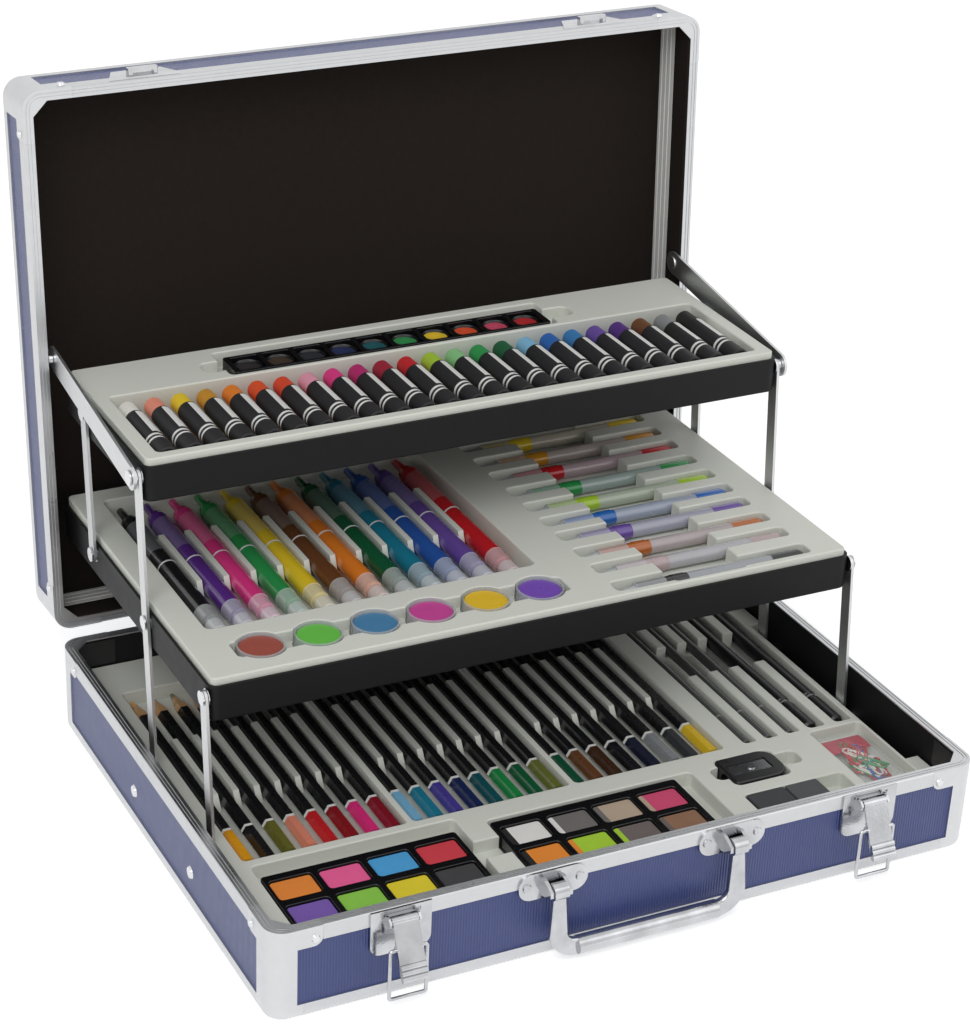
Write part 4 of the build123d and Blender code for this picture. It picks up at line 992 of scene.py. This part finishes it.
    def build(self) -> None:
        """Make the cloth under the lid's top and along its walls, and set it in the lid."""
        inside = self.measure(bpy.data.objects["lid_lining"])
        path = self.outline(inside.half_x, inside.half_y)
        points: list[Vector] = []
        faces: list[tuple[int, ...]] = []
        self.loft(points, faces, self.sheet(inside, path), wrap=False)
        self.loft(points, faces, self.band(inside, path), wrap=True)
        made = add_mesh("lid_lining_cloth", points, faces)
        finish = Finish("lining", "#241E1B", roughness=0.9, scale=2600.0, grain=0.14, specular=0.16)
        made.data.materials.append(finish.build(self.effects))
        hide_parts("lid_lining")
        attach(made, "lid")
        LOG.info("lid: %s, cloth %.2f mm thick", made.name, (inside.top - inside.front) / MM)


@dataclass
class RoundPans:
    """Round cakes of watercolour with a raised rim, in place of the frame's pans; lengths in millimetres."""

    effects: Effects
    first: float = -92.4
    pitch: float = 19.2
    around: int = 40
    profile: tuple[tuple[float, float], ...] = (
        (8.0, 0.0), (8.0, 0.9), (7.7, 1.0), (7.2, 0.95), (6.9, 0.7), (6.0, 0.78), (3.5, 0.62), (0.0, 0.56),
    )
    colours: tuple[str, ...] = ("#242022", "#3A2C20", "#20242A", "#1C2850", "#14535A", "#2F8C4C",
                                "#E6C22E", "#D9502A", "#C84A66", "#B3242A")
    rim_steps: int = 4

    def build(self) -> None:
        """Turn the ten cakes and set them in the top tray."""
        low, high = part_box("watercolour_pans")
        middle = (low.y + high.y) / 2
        points: list[tuple[float, float, float]] = []
        faces: list[tuple[int, ...]] = []
        rims: list[bool] = []
        for index in range(len(self.colours)):
            centre = (self.first + index * self.pitch) * MM
            base = len(points)
            for radius, share in self.profile:
                for step in range(self.around):
                    turn = 2 * math.pi * step / self.around
                    points.append((centre + radius * MM * math.cos(turn),
                                   middle + radius * MM * math.sin(turn),
                                   low.z + share * (high.z - low.z)))
            for ring in range(len(self.profile) - 1):
                for step in range(self.around):
                    near, far = base + ring * self.around, base + (ring + 1) * self.around
                    after = (step + 1) % self.around
                    faces.append((near + step, near + after, far + after, far + step))
                    rims.append(ring < self.rim_steps)
        made = add_mesh("watercolour_cakes", points, faces)
        cake = Finish("round_cakes", self.colours[0], roughness=0.6, grain=0.1,
                      rows=Rows(self.colours, self.first, self.pitch))
        rim = Finish("cake_rims", "#1A1A1C", roughness=0.25)
        for finish in (cake, rim):
            made.data.materials.append(finish.build(self.effects))
        for polygon, on_rim in zip(made.data.polygons, rims):
            polygon.material_index = int(on_rim)
        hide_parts("watercolour_pans")
        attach(made, "top_tray")
        LOG.info("top tray: %s", made.name)


@dataclass
class Studio:
    """Pale floor, soft lamps and the camera, whose place is in millimetres."""

    azimuth: float = 25.371
    elevation: float = 28.993
    roll: float = 1.444
    focal_pixels: float = 2660.88
    place: tuple[float, float, float] = (-603.6, -1114.3, 802.2)
    shift: tuple[float, float] = (0.1046, 0.1119)
    floor_half: float = 8.0
    floor_lift: float = 0.5
    aim_height: float = 0.15
    ambient: float = 0.5
    seen_extra: float = 0.5
    lamps: tuple[tuple[str, tuple[float, float, float], float, float], ...] = (
        ("key_lamp", (-1.3, -1.5, 2.1), 1.8, 29.0),
        ("fill_lamp", (1.8, -1.2, 1.4), 2.2, 9.0),
    )

    def camera(self) -> None:
        """Set the camera at the photograph's viewing angle."""
        azimuth, elevation, roll = (math.radians(a) for a in (self.azimuth, self.elevation, self.roll))
        ahead = Vector((math.sin(azimuth) * math.cos(elevation),
                        math.cos(azimuth) * math.cos(elevation), -math.sin(elevation)))
        right = ahead.cross(Vector((0, 0, 1))).normalized()
        up = right.cross(ahead)
        across = math.cos(roll) * right + math.sin(roll) * up
        upward = -math.sin(roll) * right + math.cos(roll) * up
        data = bpy.data.cameras.new("camera")
        data.sensor_fit = "HORIZONTAL"
        data.sensor_width = SENSOR
        data.lens = self.focal_pixels * SENSOR / IMAGE_WIDTH
        data.shift_x, data.shift_y = self.shift
        made = bpy.data.objects.new("camera", data)
        made.matrix_world = Matrix.Translation(Vector(self.place) * MM) @ Matrix(
            (across, upward, -ahead)).transposed().to_4x4()
        bpy.context.scene.collection.objects.link(made)
        bpy.context.scene.camera = made

    def light(self) -> None:
        """Add the lamps and the surroundings, which look brighter than the light that they give."""
        for name, place, size, power in self.lamps:
            data = bpy.data.lights.new(name, "AREA")
            data.size, data.energy = size, power
            lamp = bpy.data.objects.new(name, data)
            lamp.location = place
            aim = -Vector(place) + Vector((0, 0, self.aim_height))
            lamp.rotation_euler = aim.to_track_quat("-Z", "Y").to_euler()
            bpy.context.scene.collection.objects.link(lamp)
        world = bpy.data.worlds.new("surroundings")
        bpy.context.scene.world = world
        world.use_nodes = True
        graph = Graph(world.node_tree)
        path = graph.node("ShaderNodeLightPath")
        seen = graph.math("MAXIMUM", path.outputs["Is Camera Ray"],
                          graph.math("MAXIMUM", path.outputs["Is Glossy Ray"],
                                     path.outputs["Is Transmission Ray"]))
        ground = world.node_tree.nodes["Background"]
        graph.feed(ground.inputs["Strength"], graph.math("MULTIPLY_ADD", seen, self.seen_extra, self.ambient))
        ground.inputs["Color"].default_value = WHITE

    def floor(self, effects: Effects) -> None:
        """Lay the floor that the case stands on.

        Args:
            effects: The shared shader groups.
        """
        half = self.floor_half
        made = add_mesh("floor", [(-half, -half, 0), (half, -half, 0), (half, half, 0), (-half, half, 0)],
                        [(0, 1, 2, 3)], smooth=False)
        finish = Finish("floor_paint", "#F2F2F1", tint=0.99, roughness=0.8, scale=20.0, grain=0.0)
        paint = finish.build(effects)
        graph = Graph(paint.node_tree)
        path = graph.node("ShaderNodeLightPath")
        seen = graph.math("MAXIMUM", path.outputs["Is Camera Ray"], path.outputs["Is Glossy Ray"])
        shader = paint.node_tree.nodes["Principled BSDF"]
        shader.inputs["Emission Color"].default_value = WHITE
        graph.feed(shader.inputs["Emission Strength"], graph.math("MULTIPLY", seen, self.floor_lift))
        made.data.materials.append(paint)


def main() -> None:
    """Load the frame, dress each sub-assembly and set the scene."""
    logging.basicConfig(level=logging.INFO, format="%(message)s")
    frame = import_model()
    effects = Effects()
    effects.build()
    for kind in (CaseBody, BaseContents, TrayContents):
        kind(effects, frame["nodes"]).dress()
    ClipBag(effects).build()
    LiningCloth(effects).build()
    RoundPans(effects).build()
    studio = Studio()
    studio.camera()
    studio.light()
    studio.floor(effects)
    bpy.context.scene.view_settings.view_transform = "Standard"


if __name__ == "__main__":
    main()
